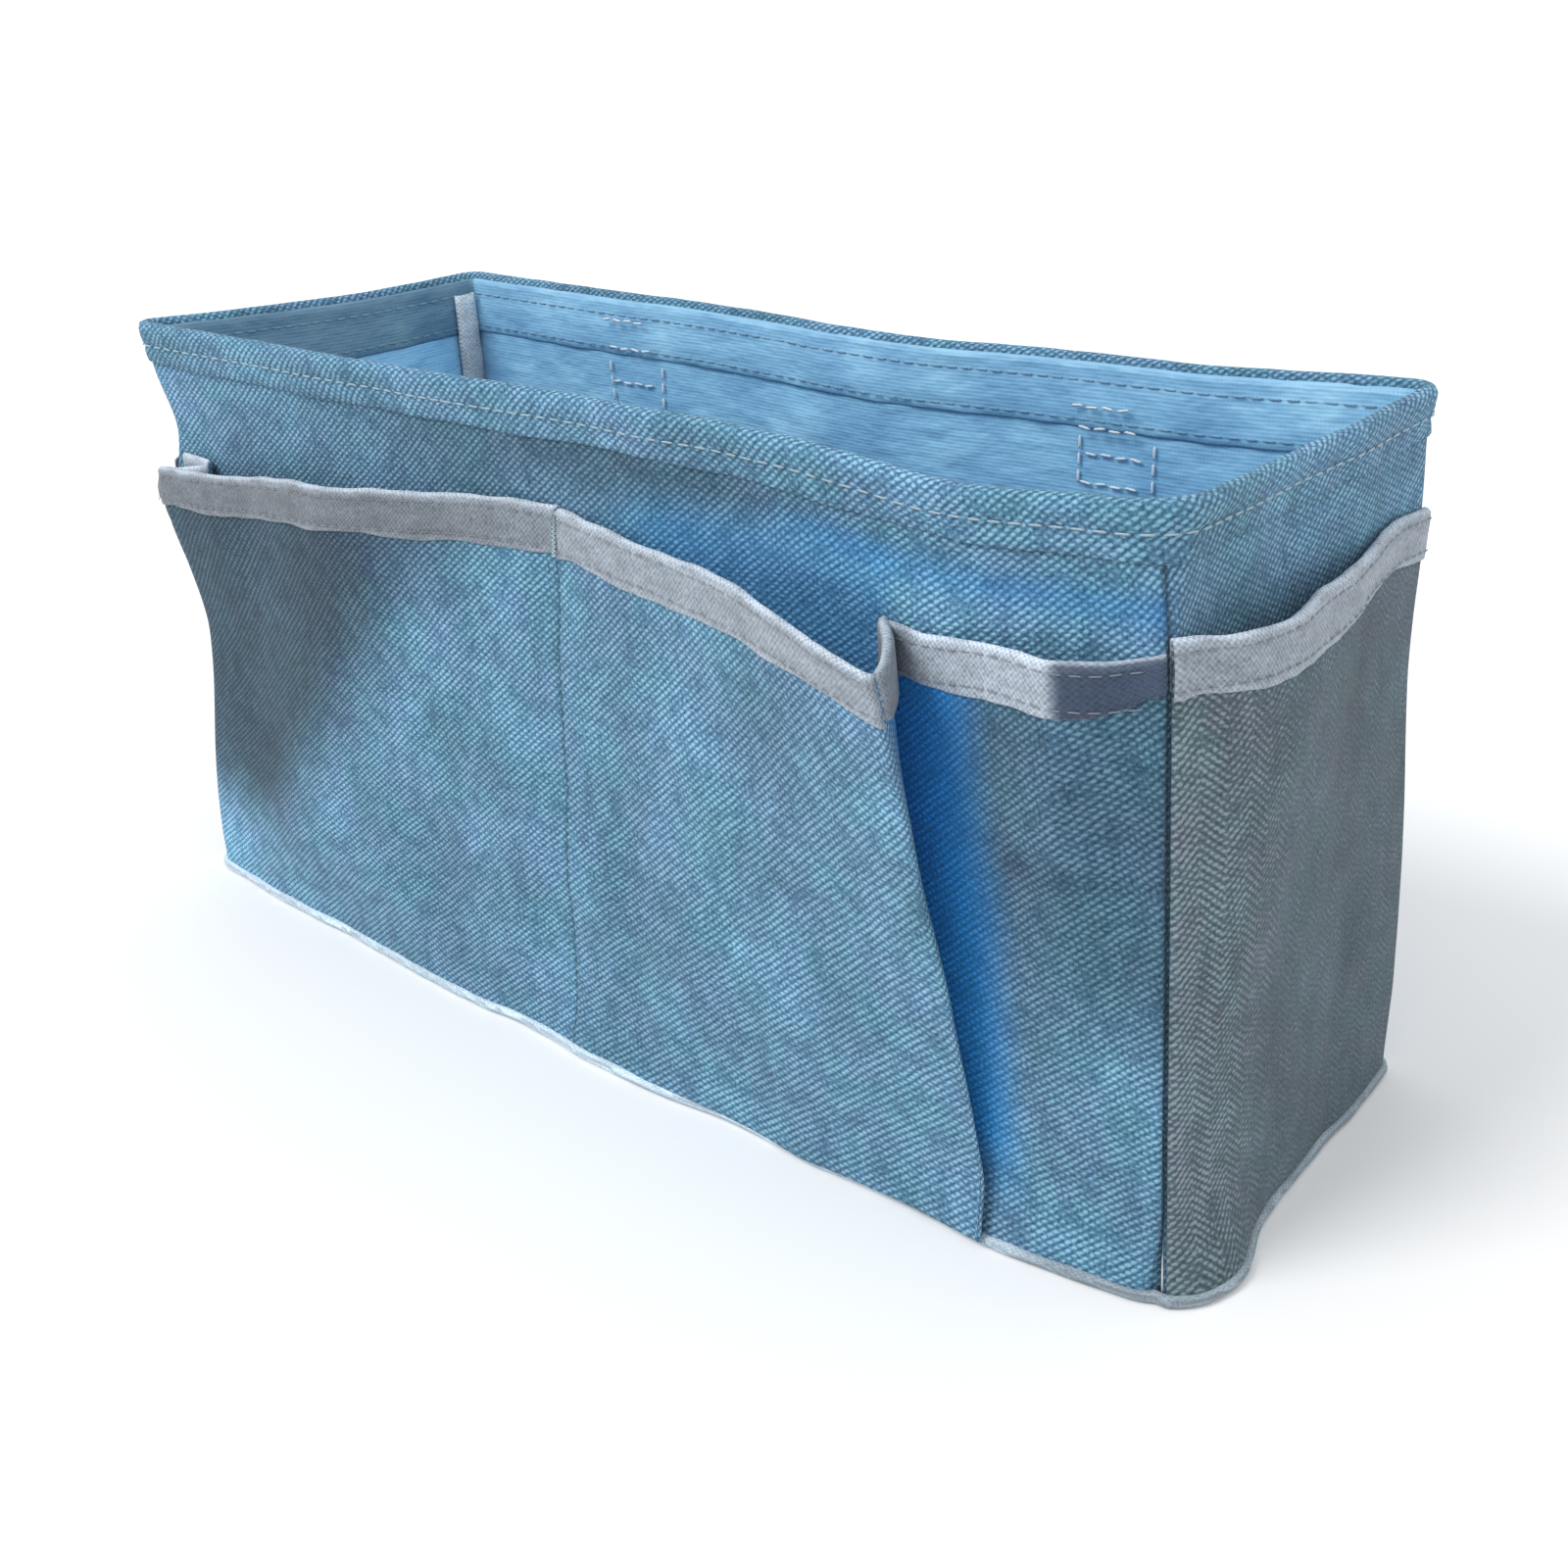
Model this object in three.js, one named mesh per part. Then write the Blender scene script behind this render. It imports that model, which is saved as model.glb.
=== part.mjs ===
// A sewn cloth tool organizer: an open rectangular box with stiffened walls,
// bound patch pockets on the front and both ends, two webbing loops on the
// back, and a loose board that lies on the floor of the box.
//
// Units are millimetres. +X runs to the right along the length, +Y to the back,
// +Z up. The origin is the centre of the underside.

import * as THREE from 'three';

// ---- Driving dimensions ----

const HEIGHT = 152;
const BASE_LENGTH = 298;
const BASE_WIDTH = 102;
const RIM_LENGTH = 286;
const RIM_WIDTH = 108;

const GAP = 0.3; // clearance between pieces that lie on each other

const CLOTH = 0.8; // heavy woven cloth
const STIFFENER = 1.5;
const LINING = 0.5;
const TAPE = 0.5; // bias tape that binds the pocket mouths and inner seams
const WEBBING = 1.5;

const HEM_OUTSIDE = 10; // height of the rim facing on the outside of the walls
const HEM_INSIDE = 16;

const POCKET_TOP = 126;
const POCKET_TAPE_HEIGHT = 10;
const FRONT_POCKET_BULGE = 9;
const END_POCKET_BULGE = 10;
const RIGHT_POCKET_BULGE = 8;
const DIVIDER_U = 1.2; // stitch line between the left and middle front pockets
const GUSSET_ROOT_U = 87; // stitch line where the middle pocket's gusset starts
const FOLD_TOP = { u: 102, out: 21 }; // outer fold of the gusset at the mouth
const FOLD_BOTTOM = { u: 113, out: 4.4 };

const PIPING = 2;

const BOARD_LENGTH = 274;
const BOARD_WIDTH = 91;
const BOARD_THICKNESS = 2.5;
const BOARD_CORNER_RADIUS = 8;

const LOOP_WIDTH = 20;
const LOOP_CENTRE_U = 73.5;
const LOOP_TOP = 147;
const LOOP_BOTTOM = 48;
const LOOP_SEWN_LENGTH = 24;
const LOOP_CLEARANCE = 8; // room for a belt between the loop and the wall

// ---- Derived levels and depths ----

const SIDES = [
  { name: 'front', quarter: 0, alongLength: true },
  { name: 'right', quarter: 1, alongLength: false },
  { name: 'back', quarter: 2, alongLength: true },
  { name: 'left', quarter: 3, alongLength: false },
];

const WALL_BOTTOM = CLOTH + GAP;
const WALL_TOP = HEIGHT - CLOTH - GAP;

const STIFFENER_DEPTH = CLOTH + GAP;
const LINING_DEPTH = STIFFENER_DEPTH + STIFFENER + GAP;
const INSIDE_DEPTH = LINING_DEPTH + LINING + GAP; // where pieces on the lining start

const POCKET_STAND_OFF = GAP + TAPE + GAP; // leaves room for the tape's inner leg

// ---- Materials ----

const material = (color, roughness) =>
  new THREE.MeshStandardMaterial({ color, roughness, metalness: 0 });

const WOVEN = material(0x6a95b0, 0.92);
const WOVEN_END = material(0x67767f, 0.92);
const LINING_CLOTH = material(0x6b9bc0, 0.7);
const BIAS_TAPE = material(0xa9bbc8, 0.85);
const PIPING_CLOTH = material(0x91b0c3, 0.85);
const FOAM_BOARD = material(0xd9dcdd, 0.8);
const LOOP_WEBBING = material(0x55809f, 0.85);

// ---- Shape helpers ----

/** Half of the box's length (along X) or width at a height. */
function halfSpan(alongLength, z) {
  const [base, rim] = alongLength ? [BASE_LENGTH, RIM_LENGTH] : [BASE_WIDTH, RIM_WIDTH];
  return THREE.MathUtils.lerp(base, rim, z / HEIGHT) / 2;
}

/** Half of a wall's own length, and how far its outer face stands from the centre. */
const halfLength = (side, z) => halfSpan(side.alongLength, z);
const faceDistance = (side, z) => halfSpan(!side.alongLength, z);

/**
 * A point by a wall, before the wall is turned to its side of the box:
 * u along the wall, out from its outer face, z up.
 */
const wallPoint = (side, u, out, z) => new THREE.Vector3(u, -faceDistance(side, z) - out, z);

/** A closed solid from an array of triangles over shared points, turned to face out. */
function closedSolid(points, triangles) {
  let volume = 0;
  for (const [a, b, c] of triangles) {
    volume += points[a].dot(new THREE.Vector3().crossVectors(points[b], points[c]));
  }
  const index = triangles.flatMap(([a, b, c]) => (volume < 0 ? [a, c, b] : [a, b, c]));
  const geometry = new THREE.BufferGeometry().setFromPoints(points);
  geometry.setIndex(index);
  geometry.computeVertexNormals();
  return geometry;
}

/**
 * A sheet with thickness. face(i, j) gives the point of one face and
 * back(i, j) the point behind it, for i rows by j columns.
 */
function sheetSolid(rows, columns, face, back) {
  const points = [];
  for (const surface of [face, back]) {
    for (let i = 0; i < rows; i++) {
      for (let j = 0; j < columns; j++) points.push(surface(i, j));
    }
  }
  const at = (layer, i, j) => (layer * rows + i) * columns + j;
  const triangles = [];
  const quad = (a, b, c, d) => triangles.push([a, b, c], [a, c, d]);
  for (let i = 0; i + 1 < rows; i++) {
    for (let j = 0; j + 1 < columns; j++) {
      quad(at(0, i, j), at(0, i, j + 1), at(0, i + 1, j + 1), at(0, i + 1, j));
      quad(at(1, i, j), at(1, i + 1, j), at(1, i + 1, j + 1), at(1, i, j + 1));
    }
  }
  for (let j = 0; j + 1 < columns; j++) {
    const last = rows - 1;
    quad(at(0, 0, j), at(1, 0, j), at(1, 0, j + 1), at(0, 0, j + 1));
    quad(at(0, last, j), at(0, last, j + 1), at(1, last, j + 1), at(1, last, j));
  }
  for (let i = 0; i + 1 < rows; i++) {
    const last = columns - 1;
    quad(at(0, i, 0), at(0, i + 1, 0), at(1, i + 1, 0), at(1, i, 0));
    quad(at(0, i, last), at(1, i, last), at(1, i + 1, last), at(0, i + 1, last));
  }
  return closedSolid(points, triangles);
}

/** The turned U of a tape or facing that is folded over an edge. */
function foldedOver({ columns, at, outer, inner, thickness, top, outerLeg, innerLeg }) {
  const line = (offset, side, faceZ, backZ) => ({
    face: (j) => at(j, offset(j, faceZ), faceZ),
    back: (j) => at(j, offset(j, faceZ) + side * thickness, backZ),
  });
  const profile = [
    line(outer, -1, top - outerLeg, top - outerLeg),
    line(outer, -1, top, top - thickness),
    line(inner, 1, top, top - thickness),
    line(inner, 1, top - innerLeg, top - innerLeg),
  ];
  return sheetSolid(
    profile.length,
    columns,
    (i, j) => profile[i].face(j),
    (i, j) => profile[i].back(j),
  );
}

const organizer = new THREE.Group();

/** Adds a named piece in a wall's own frame, turned to its side of the box. */
function addToSide(side, name, geometry, piece) {
  const turned = new THREE.Group();
  turned.rotation.z = (side.quarter * Math.PI) / 2;
  const mesh = new THREE.Mesh(geometry, piece);
  mesh.name = name;
  turned.add(mesh);
  organizer.add(turned);
}

function addPiece(name, geometry, piece, z = 0) {
  const mesh = new THREE.Mesh(geometry, piece);
  mesh.name = name;
  mesh.position.z = z;
  organizer.add(mesh);
}

/** A flat rectangle with rounded corners, as a path or a hole. */
function roundedRectangle(PathType, length, width, radius) {
  const [x, y] = [length / 2, width / 2];
  const path = new PathType();
  path.moveTo(-x + radius, -y);
  path.lineTo(x - radius, -y);
  path.absarc(x - radius, -y + radius, radius, -Math.PI / 2, 0);
  path.lineTo(x, y - radius);
  path.absarc(x - radius, y - radius, radius, 0, Math.PI / 2);
  path.lineTo(-x + radius, y);
  path.absarc(-x + radius, y - radius, radius, Math.PI / 2, Math.PI);
  path.lineTo(-x, -y + radius);
  path.absarc(-x + radius, -y + radius, radius, Math.PI, 1.5 * Math.PI);
  return path;
}

/** A flat plate with an optional hole, standing on z = 0. */
function plate(outline, thickness, hole) {
  if (hole) outline.holes.push(hole);
  const options = { depth: thickness, bevelEnabled: false, curveSegments: 5 };
  return new THREE.ExtrudeGeometry(outline, options);
}

// ---- Walls: outer cloth, stiffener and lining, one behind the other ----

/** One layer of a wall. The long walls run to the corners and the end walls fit between. */
function wallLayer(side, depth, thickness) {
  const cutBack = side.alongLength ? depth : depth + thickness + GAP;
  const corner = (i, j, out) => {
    const z = i === 0 ? WALL_BOTTOM : WALL_TOP;
    const u = (halfLength(side, z) - cutBack) * (j === 0 ? -1 : 1);
    return wallPoint(side, u, out, z);
  };
  return sheetSolid(
    2,
    2,
    (i, j) => corner(i, j, -depth),
    (i, j) => corner(i, j, -depth - thickness),
  );
}

const MITRE_GAP = 0.25;

/** The facing that is folded over the top of a wall, mitred at both corners. */
function rimHem(side) {
  const at = (j, out, z) => {
    const u = halfLength(side, z) + out - MITRE_GAP;
    return wallPoint(side, j === 0 ? -u : u, out, z);
  };
  return foldedOver({
    columns: 2,
    at,
    outer: () => GAP + CLOTH,
    inner: () => -INSIDE_DEPTH - CLOTH,
    thickness: CLOTH,
    top: HEIGHT,
    outerLeg: HEM_OUTSIDE,
    innerLeg: HEM_INSIDE,
  });
}

for (const side of SIDES) {
  const cloth = side.alongLength ? WOVEN : WOVEN_END;
  addToSide(side, `${side.name}_outer_panel`, wallLayer(side, 0, CLOTH), cloth);
  addToSide(side, `${side.name}_stiffener`, wallLayer(side, STIFFENER_DEPTH, STIFFENER), FOAM_BOARD);
  addToSide(side, `${side.name}_lining`, wallLayer(side, LINING_DEPTH, LINING), LINING_CLOTH);
  addToSide(side, `${side.name}_rim_hem`, rimHem(side), cloth);
}

// ---- Floor: outer cloth, lining, seam binding, piping and the loose board ----

const SEAM_BINDING_HEIGHT = 6;
const SEAM_BINDING_THICKNESS = 1.2;
const PIPING_BOTTOM = 0.5;

const FLOOR_LINING_Z = WALL_BOTTOM;
const FLOOR_TOP = FLOOR_LINING_Z + LINING + GAP;
const SEAM_BINDING_TOP = FLOOR_TOP + SEAM_BINDING_HEIGHT;

const insideLength = (z) => 2 * (halfSpan(true, z) - INSIDE_DEPTH);
const insideWidth = (z) => 2 * (halfSpan(false, z) - INSIDE_DEPTH);

const seamOutside = [insideLength(SEAM_BINDING_TOP), insideWidth(FLOOR_TOP)];
const seamInside = seamOutside.map((size) => size - 2 * SEAM_BINDING_THICKNESS);
const pipingInside = [BASE_LENGTH + 2 * GAP, BASE_WIDTH + 2 * GAP];
const pipingOutside = pipingInside.map((size) => size + 2 * PIPING);

addPiece(
  'base_outer_panel',
  plate(roundedRectangle(THREE.Shape, BASE_LENGTH, BASE_WIDTH, 1), CLOTH),
  WOVEN,
);
addPiece(
  'base_lining',
  plate(roundedRectangle(THREE.Shape, insideLength(FLOOR_TOP), insideWidth(0), 1), LINING),
  LINING_CLOTH,
  FLOOR_LINING_Z,
);
addPiece(
  'floor_seam_binding',
  plate(
    roundedRectangle(THREE.Shape, ...seamOutside, 2),
    SEAM_BINDING_HEIGHT,
    roundedRectangle(THREE.Path, ...seamInside, 1),
  ),
  BIAS_TAPE,
  FLOOR_TOP,
);
addPiece(
  'base_piping',
  plate(
    roundedRectangle(THREE.Shape, ...pipingOutside, 3),
    PIPING,
    roundedRectangle(THREE.Path, ...pipingInside, 1),
  ),
  PIPING_CLOTH,
  PIPING_BOTTOM,
);
addPiece(
  'base_board',
  plate(
    roundedRectangle(THREE.Shape, BOARD_LENGTH, BOARD_WIDTH, BOARD_CORNER_RADIUS),
    BOARD_THICKNESS,
  ),
  FOAM_BOARD,
  FLOOR_TOP,
);

// ---- Bound seams that stand in the four inner corners ----

const CORNER_BINDING_WIDTH = 8;
const CORNER_BINDING_THICKNESS = 1.4;
const CORNER_BINDING_TOP = HEIGHT - HEM_INSIDE - GAP;
const CORNER_BINDING_BOTTOM = SEAM_BINDING_TOP + GAP;

/** A folded strip against an end wall, beside the corner that direction points to. */
function cornerBinding(side, direction) {
  const corner = (i, j, out) => {
    const z = i === 0 ? CORNER_BINDING_BOTTOM : CORNER_BINDING_TOP;
    const nearCorner = halfLength(side, z) - INSIDE_DEPTH - GAP;
    const u = nearCorner - (j === 0 ? 0 : CORNER_BINDING_WIDTH);
    return wallPoint(side, u * direction, out, z);
  };
  return sheetSolid(
    2,
    2,
    (i, j) => corner(i, j, -INSIDE_DEPTH),
    (i, j) => corner(i, j, -INSIDE_DEPTH - CORNER_BINDING_THICKNESS),
  );
}

const [FRONT, RIGHT, BACK, LEFT] = SIDES;

addToSide(RIGHT, 'front_right_corner_binding', cornerBinding(RIGHT, -1), BIAS_TAPE);
addToSide(RIGHT, 'back_right_corner_binding', cornerBinding(RIGHT, 1), BIAS_TAPE);
addToSide(LEFT, 'back_left_corner_binding', cornerBinding(LEFT, -1), BIAS_TAPE);
addToSide(LEFT, 'front_left_corner_binding', cornerBinding(LEFT, 1), BIAS_TAPE);

// ---- Pockets ----

/** Heights of a pocket panel's rows: close together where the bottom curves in. */
const POCKET_ROWS = [0, 0.03, 0.08, 0.15, 0.4, 0.7, 1];
const POCKET_BOTTOM = PIPING_BOTTOM + PIPING + GAP;
const POCKET_EDGE = POCKET_TOP - TAPE - GAP; // the raw edge inside the tape
const POCKET_COLUMNS = 13;

const pocketHeight = (i) => THREE.MathUtils.lerp(POCKET_BOTTOM, POCKET_EDGE, POCKET_ROWS[i]);
const heightShare = (z) => (z - POCKET_BOTTOM) / (POCKET_EDGE - POCKET_BOTTOM);

/**
 * A pocket is described by where(share, z), which gives u and out for a share
 * of the way along its mouth from one stitched side to the other.
 */
function pocketPanel(side, where) {
  const surface = (extra) => (i, j) => {
    const z = pocketHeight(i);
    const { u, out } = where(j / (POCKET_COLUMNS - 1), z);
    return wallPoint(side, u, out + extra, z);
  };
  return sheetSolid(POCKET_ROWS.length, POCKET_COLUMNS, surface(CLOTH), surface(0));
}

/** The tape folded over a pocket's mouth. */
function pocketBinding(side, where) {
  const along = (j, z) => where(j / (POCKET_COLUMNS - 1), Math.min(z, POCKET_EDGE));
  return foldedOver({
    columns: POCKET_COLUMNS,
    at: (j, out, z) => wallPoint(side, along(j, z).u, out, z),
    outer: (j, z) => along(j, z).out + CLOTH + GAP + TAPE,
    inner: (j, z) => along(j, z).out - GAP - TAPE,
    thickness: TAPE,
    top: POCKET_TOP,
    outerLeg: POCKET_TAPE_HEIGHT,
    innerLeg: POCKET_TAPE_HEIGHT,
  });
}

/** How much of a pocket's fullness is open at a height: none at the bottom seam. */
const fullness = (z) => Math.min(1, Math.sqrt(heightShare(z) / 0.15));

/** A pocket that stands off the wall in one shallow curve from side to side. */
function bowedPocket(startAt, endAt, bulge) {
  return (share, z) => ({
    u: THREE.MathUtils.lerp(startAt(z), endAt(z), share),
    out: POCKET_STAND_OFF + bulge * fullness(z) * Math.sin(Math.PI * share),
  });
}

const EDGE_INSET = 0.5;
const frontCorner = (z) => halfLength(FRONT, z) - EDGE_INSET;
const endCorner = (z) => halfLength(RIGHT, z) - EDGE_INSET;

const foldU = (z) => THREE.MathUtils.lerp(FOLD_BOTTOM.u, FOLD_TOP.u, heightShare(z));
const foldOut = (z) => THREE.MathUtils.lerp(FOLD_BOTTOM.out, FOLD_TOP.out, heightShare(z));

/** The middle pocket runs out from the divider to the gusset's outer fold. */
function middlePocket(share, z) {
  const rise = THREE.MathUtils.lerp(Math.min(1, share / 0.7), share, heightShare(z));
  const crown = 1.5 * fullness(z) * Math.sin(Math.PI * share) * heightShare(z);
  return {
    u: THREE.MathUtils.lerp(DIVIDER_U + GAP / 2, foldU(z), share),
    out: THREE.MathUtils.lerp(POCKET_STAND_OFF, foldOut(z), rise) + crown,
  };
}

/** The gusset runs from the wall to just behind the fold. */
function middleGusset(share, z) {
  const behindFold = foldOut(z) - CLOTH - 2 * TAPE - 3 * GAP * heightShare(z) - GAP;
  const root = THREE.MathUtils.lerp(2.2, POCKET_STAND_OFF, heightShare(z));
  return {
    u: THREE.MathUtils.lerp(GUSSET_ROOT_U - 0.5, foldU(z) - 1.5, share),
    out: THREE.MathUtils.lerp(root, Math.max(root, behindFold), share),
  };
}

/** The right pocket starts under the gusset and is fullest towards the corner. */
function rightPocket(share, z) {
  const start = GUSSET_ROOT_U + 3;
  const swell = Math.sin(Math.PI * share ** 1.3) ** 2;
  const bulge = RIGHT_POCKET_BULGE * fullness(z) * THREE.MathUtils.lerp(0.25, 1, heightShare(z));
  return {
    u: THREE.MathUtils.lerp(start, frontCorner(z), share),
    out: POCKET_STAND_OFF - GAP * (1 - heightShare(z)) + bulge * swell,
  };
}

const leftPocket = bowedPocket((z) => -frontCorner(z), () => DIVIDER_U - GAP / 2, FRONT_POCKET_BULGE);
const endPocket = bowedPocket((z) => -endCorner(z), endCorner, END_POCKET_BULGE);

const POCKETS = [
  { side: FRONT, name: 'front_left_pocket', where: leftPocket, cloth: WOVEN },
  { side: FRONT, name: 'front_middle_pocket', where: middlePocket, cloth: WOVEN },
  { side: FRONT, name: 'front_middle_gusset', where: middleGusset, cloth: WOVEN },
  { side: FRONT, name: 'front_right_pocket', where: rightPocket, cloth: WOVEN },
  { side: RIGHT, name: 'right_end_pocket', where: endPocket, cloth: WOVEN_END },
  { side: LEFT, name: 'left_end_pocket', where: endPocket, cloth: WOVEN_END },
];

for (const { side, name, where, cloth } of POCKETS) {
  addToSide(side, name, pocketPanel(side, where), cloth);
  addToSide(side, `${name}_binding`, pocketBinding(side, where), BIAS_TAPE);
}

// ---- Webbing loops on the back ----

const LOOP_BEND = 6; // height over which the webbing leaves the wall

/** A strap sewn flat at both ends that stands off the wall between them. */
function hangLoop(centre) {
  const standing = GAP + LOOP_CLEARANCE;
  const profile = [
    [LOOP_BOTTOM, GAP],
    [LOOP_BOTTOM + LOOP_SEWN_LENGTH, GAP],
    [LOOP_BOTTOM + LOOP_SEWN_LENGTH + LOOP_BEND, standing],
    [LOOP_TOP - LOOP_SEWN_LENGTH - LOOP_BEND, standing],
    [LOOP_TOP - LOOP_SEWN_LENGTH, GAP],
    [LOOP_TOP, GAP],
  ];
  const hemBottom = HEIGHT - HEM_OUTSIDE;
  const overHem = CLOTH + GAP;
  const surface = (extra) => (i, j) => {
    const [z, out] = profile[i];
    const u = centre + LOOP_WIDTH * (j - 0.5);
    return wallPoint(BACK, u, out + extra + (z > hemBottom ? overHem : 0), z);
  };
  return sheetSolid(profile.length, 2, surface(WEBBING), surface(0));
}

// The back wall is seen from behind, so its own u runs towards the left end.
addToSide(BACK, 'hang_loop_left', hangLoop(LOOP_CENTRE_U), LOOP_WEBBING);
addToSide(BACK, 'hang_loop_right', hangLoop(-LOOP_CENTRE_U), LOOP_WEBBING);

export default organizer;
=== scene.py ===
"""A sewn cloth tool organizer: soft walls, bound pockets with a bellows pleat, lining and stitching."""

import math

import bmesh
import bpy
from mathutils import Matrix, Vector, noise


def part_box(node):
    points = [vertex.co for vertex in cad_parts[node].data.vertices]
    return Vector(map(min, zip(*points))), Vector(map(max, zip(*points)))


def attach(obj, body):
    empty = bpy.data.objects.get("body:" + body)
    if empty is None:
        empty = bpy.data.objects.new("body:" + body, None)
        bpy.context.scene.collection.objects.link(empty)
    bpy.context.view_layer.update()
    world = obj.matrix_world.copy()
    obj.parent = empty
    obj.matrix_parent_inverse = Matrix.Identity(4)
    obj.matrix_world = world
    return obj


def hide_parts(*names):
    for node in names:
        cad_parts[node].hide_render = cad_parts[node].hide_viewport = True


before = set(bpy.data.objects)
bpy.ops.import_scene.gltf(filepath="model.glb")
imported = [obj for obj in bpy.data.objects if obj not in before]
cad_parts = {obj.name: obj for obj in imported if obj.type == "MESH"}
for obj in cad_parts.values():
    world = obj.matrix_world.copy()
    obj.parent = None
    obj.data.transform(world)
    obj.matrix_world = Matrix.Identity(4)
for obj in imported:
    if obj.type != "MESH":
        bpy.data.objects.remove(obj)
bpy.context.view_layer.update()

MM = 0.001


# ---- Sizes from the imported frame, in millimetres ----

def millimetres(corner):
    return [c / MM for c in corner]


BASE_HALF_X, BASE_HALF_Y, _ = millimetres(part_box("base_outer_panel")[1])
HEM_PROUD = 1.1  # the rim's hem stands this far out from the walls
GUSSET_SEAM = 0.8
RIM_HALF_X = millimetres(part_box("right_rim_hem")[1])[0] - HEM_PROUD
RIM_HALF_Y = millimetres(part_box("back_rim_hem")[1])[1] - HEM_PROUD
HEIGHT = millimetres(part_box("front_rim_hem")[1])[2]
POCKET_TOP = millimetres(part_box("front_left_pocket_binding")[1])[2]
DIVIDER_X = millimetres(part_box("front_left_pocket")[1])[0]
GUSSET_ROOT_X = millimetres(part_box("front_middle_gusset")[0])[0] + GUSSET_SEAM
FOLD_BOTTOM_X = millimetres(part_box("front_middle_pocket")[1])[0]
LOOP_LOW, LOOP_HIGH = (millimetres(c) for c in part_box("hang_loop_right"))
BOARD_LOW, BOARD_HIGH = (millimetres(c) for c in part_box("base_board"))
CLOTH = 0.7
LINING_THICKNESS = 0.35
FOAM_THICKNESS = 1.3
HEM_THICKNESS = 0.6
FACING_THICKNESS = 0.4
TAPE = 0.4
STRAP = 1.3
FOAM_OUT = -1.1  # faces of the layers behind the outer cloth
LINING_OUT = -3.0
FACING_BOTTOM = HEIGHT - 16
LAYER_TOP = HEIGHT - 9  # foam and lining end inside the rim's fold


# ---- Small maths ----

def lerp(a, b, t):
    return a + (b - a) * t


def smooth(low, high, x):
    t = min(1.0, max(0.0, (x - low) / (high - low)))
    return t * t * (3 - 2 * t)


def hill(x, centre, width):
    return math.exp(-(((x - centre) / width) ** 2))


def patches(rows, a, z):
    """Soft patches added up: each has an amount, a place and reach along, a height and reach up."""
    return sum(amount * hill(a, *along) * hill(z, *up) for amount, along, up in rows)


def through(points, x):
    """A smooth curve through (x, value) points, level beyond its ends."""
    x = min(points[-1][0], max(points[0][0], x))
    k = next(k for k in range(len(points) - 1) if x <= points[k + 1][0])
    slopes = []
    for m in (k, k + 1):
        (x0, v0), (x1, v1) = points[max(0, m - 1)], points[min(len(points) - 1, m + 1)]
        slopes.append((v1 - v0) / (x1 - x0))
    (x0, v0), (x1, v1) = points[k], points[k + 1]
    span = x1 - x0
    t = (x - x0) / span
    start = v0 * (1 + 2 * t) + slopes[0] * span * t
    end = v1 * (3 - 2 * t) - slopes[1] * span * (1 - t)
    return start * (1 - t) ** 2 + end * t * t


def rough(seed, a, z, size):
    """Soft unevenness from -1 to 1 with features of about that size."""
    return 2 * noise.noise(Vector((a / size, z / size, seed * 7.3)))


# ---- The soft box: where its corners stand and how its walls bow ----

WAIST = (80, 45)  # height and reach of a sag between foot and rim
NECK = (127, 10)  # of the dip just below the rim
SCOOP = (95, 28)  # of the back right corner's hollow
CREASE_HEIGHT = 136  # of the fold above the pockets' mouths


def left_edge(z):
    waist = 12 * hill(z, *WAIST) + 6 * hill(z, *NECK)
    return lerp(-BASE_HALF_X - 1.5, -RIM_HALF_X - 5, z / HEIGHT) + waist * smooth(0, 20, z)


def back_left_edge(z):
    return lerp(-BASE_HALF_X, -RIM_HALF_X - 1, z / HEIGHT) + 4 * hill(z, *WAIST)


def right_edge(z):
    return lerp(BASE_HALF_X + 1.4, RIM_HALF_X - 0.9, z / HEIGHT)


def crease_height(a):
    return CREASE_HEIGHT - 2.5 * smooth(60, 140, a)


def half_width(z):
    return lerp(BASE_HALF_Y, RIM_HALF_Y, z / HEIGHT)


def corner_radius(corner, z):
    soft_foot = 6 * (1 - smooth(0, 22, z))
    if corner == "front_right":
        return 2.5 + soft_foot + 8.5 * smooth(122, 148, z)
    return 3 + 0.5 * soft_foot + 2.5 * smooth(120, 150, z)


def front_right_corner(z):
    """The foot of this corner is trodden out."""
    trodden = Vector((1.5, -2.5)) * (1 - smooth(0, 16, z))
    return Vector((right_edge(z), -half_width(z))) + trodden


CORNERS = {
    "front_left": lambda z: Vector((left_edge(z), -half_width(z))),
    "front_right": front_right_corner,
    "back_right": lambda z: Vector((right_edge(z) - 1.2 - 2.2 * hill(z, *SCOOP), half_width(z))),
    "back_left": lambda z: Vector((back_left_edge(z), half_width(z))),
}
SIDES = {
    "front": ("front_left", "front_right"),
    "right": ("front_right", "back_right"),
    "back": ("back_right", "back_left"),
    "left": ("back_left", "front_left"),
}


def rim_lift(side, s, x):
    """How far the rim stands above its level height."""
    front = 0.5 - 2.6 * hill(x, 100, 24) + 0.5 * hill(x, 20, 40)
    back = -1.0 - 1.4 * hill(x, 15, 40) + 2.0 * smooth(85, 140, x)
    if side == "front":
        return front
    if side == "back":
        return back
    share = s if side == "right" else 1 - s
    return lerp(front, back, smooth(0, 1, share)) - 1.5 * math.sin(math.pi * s)


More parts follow.
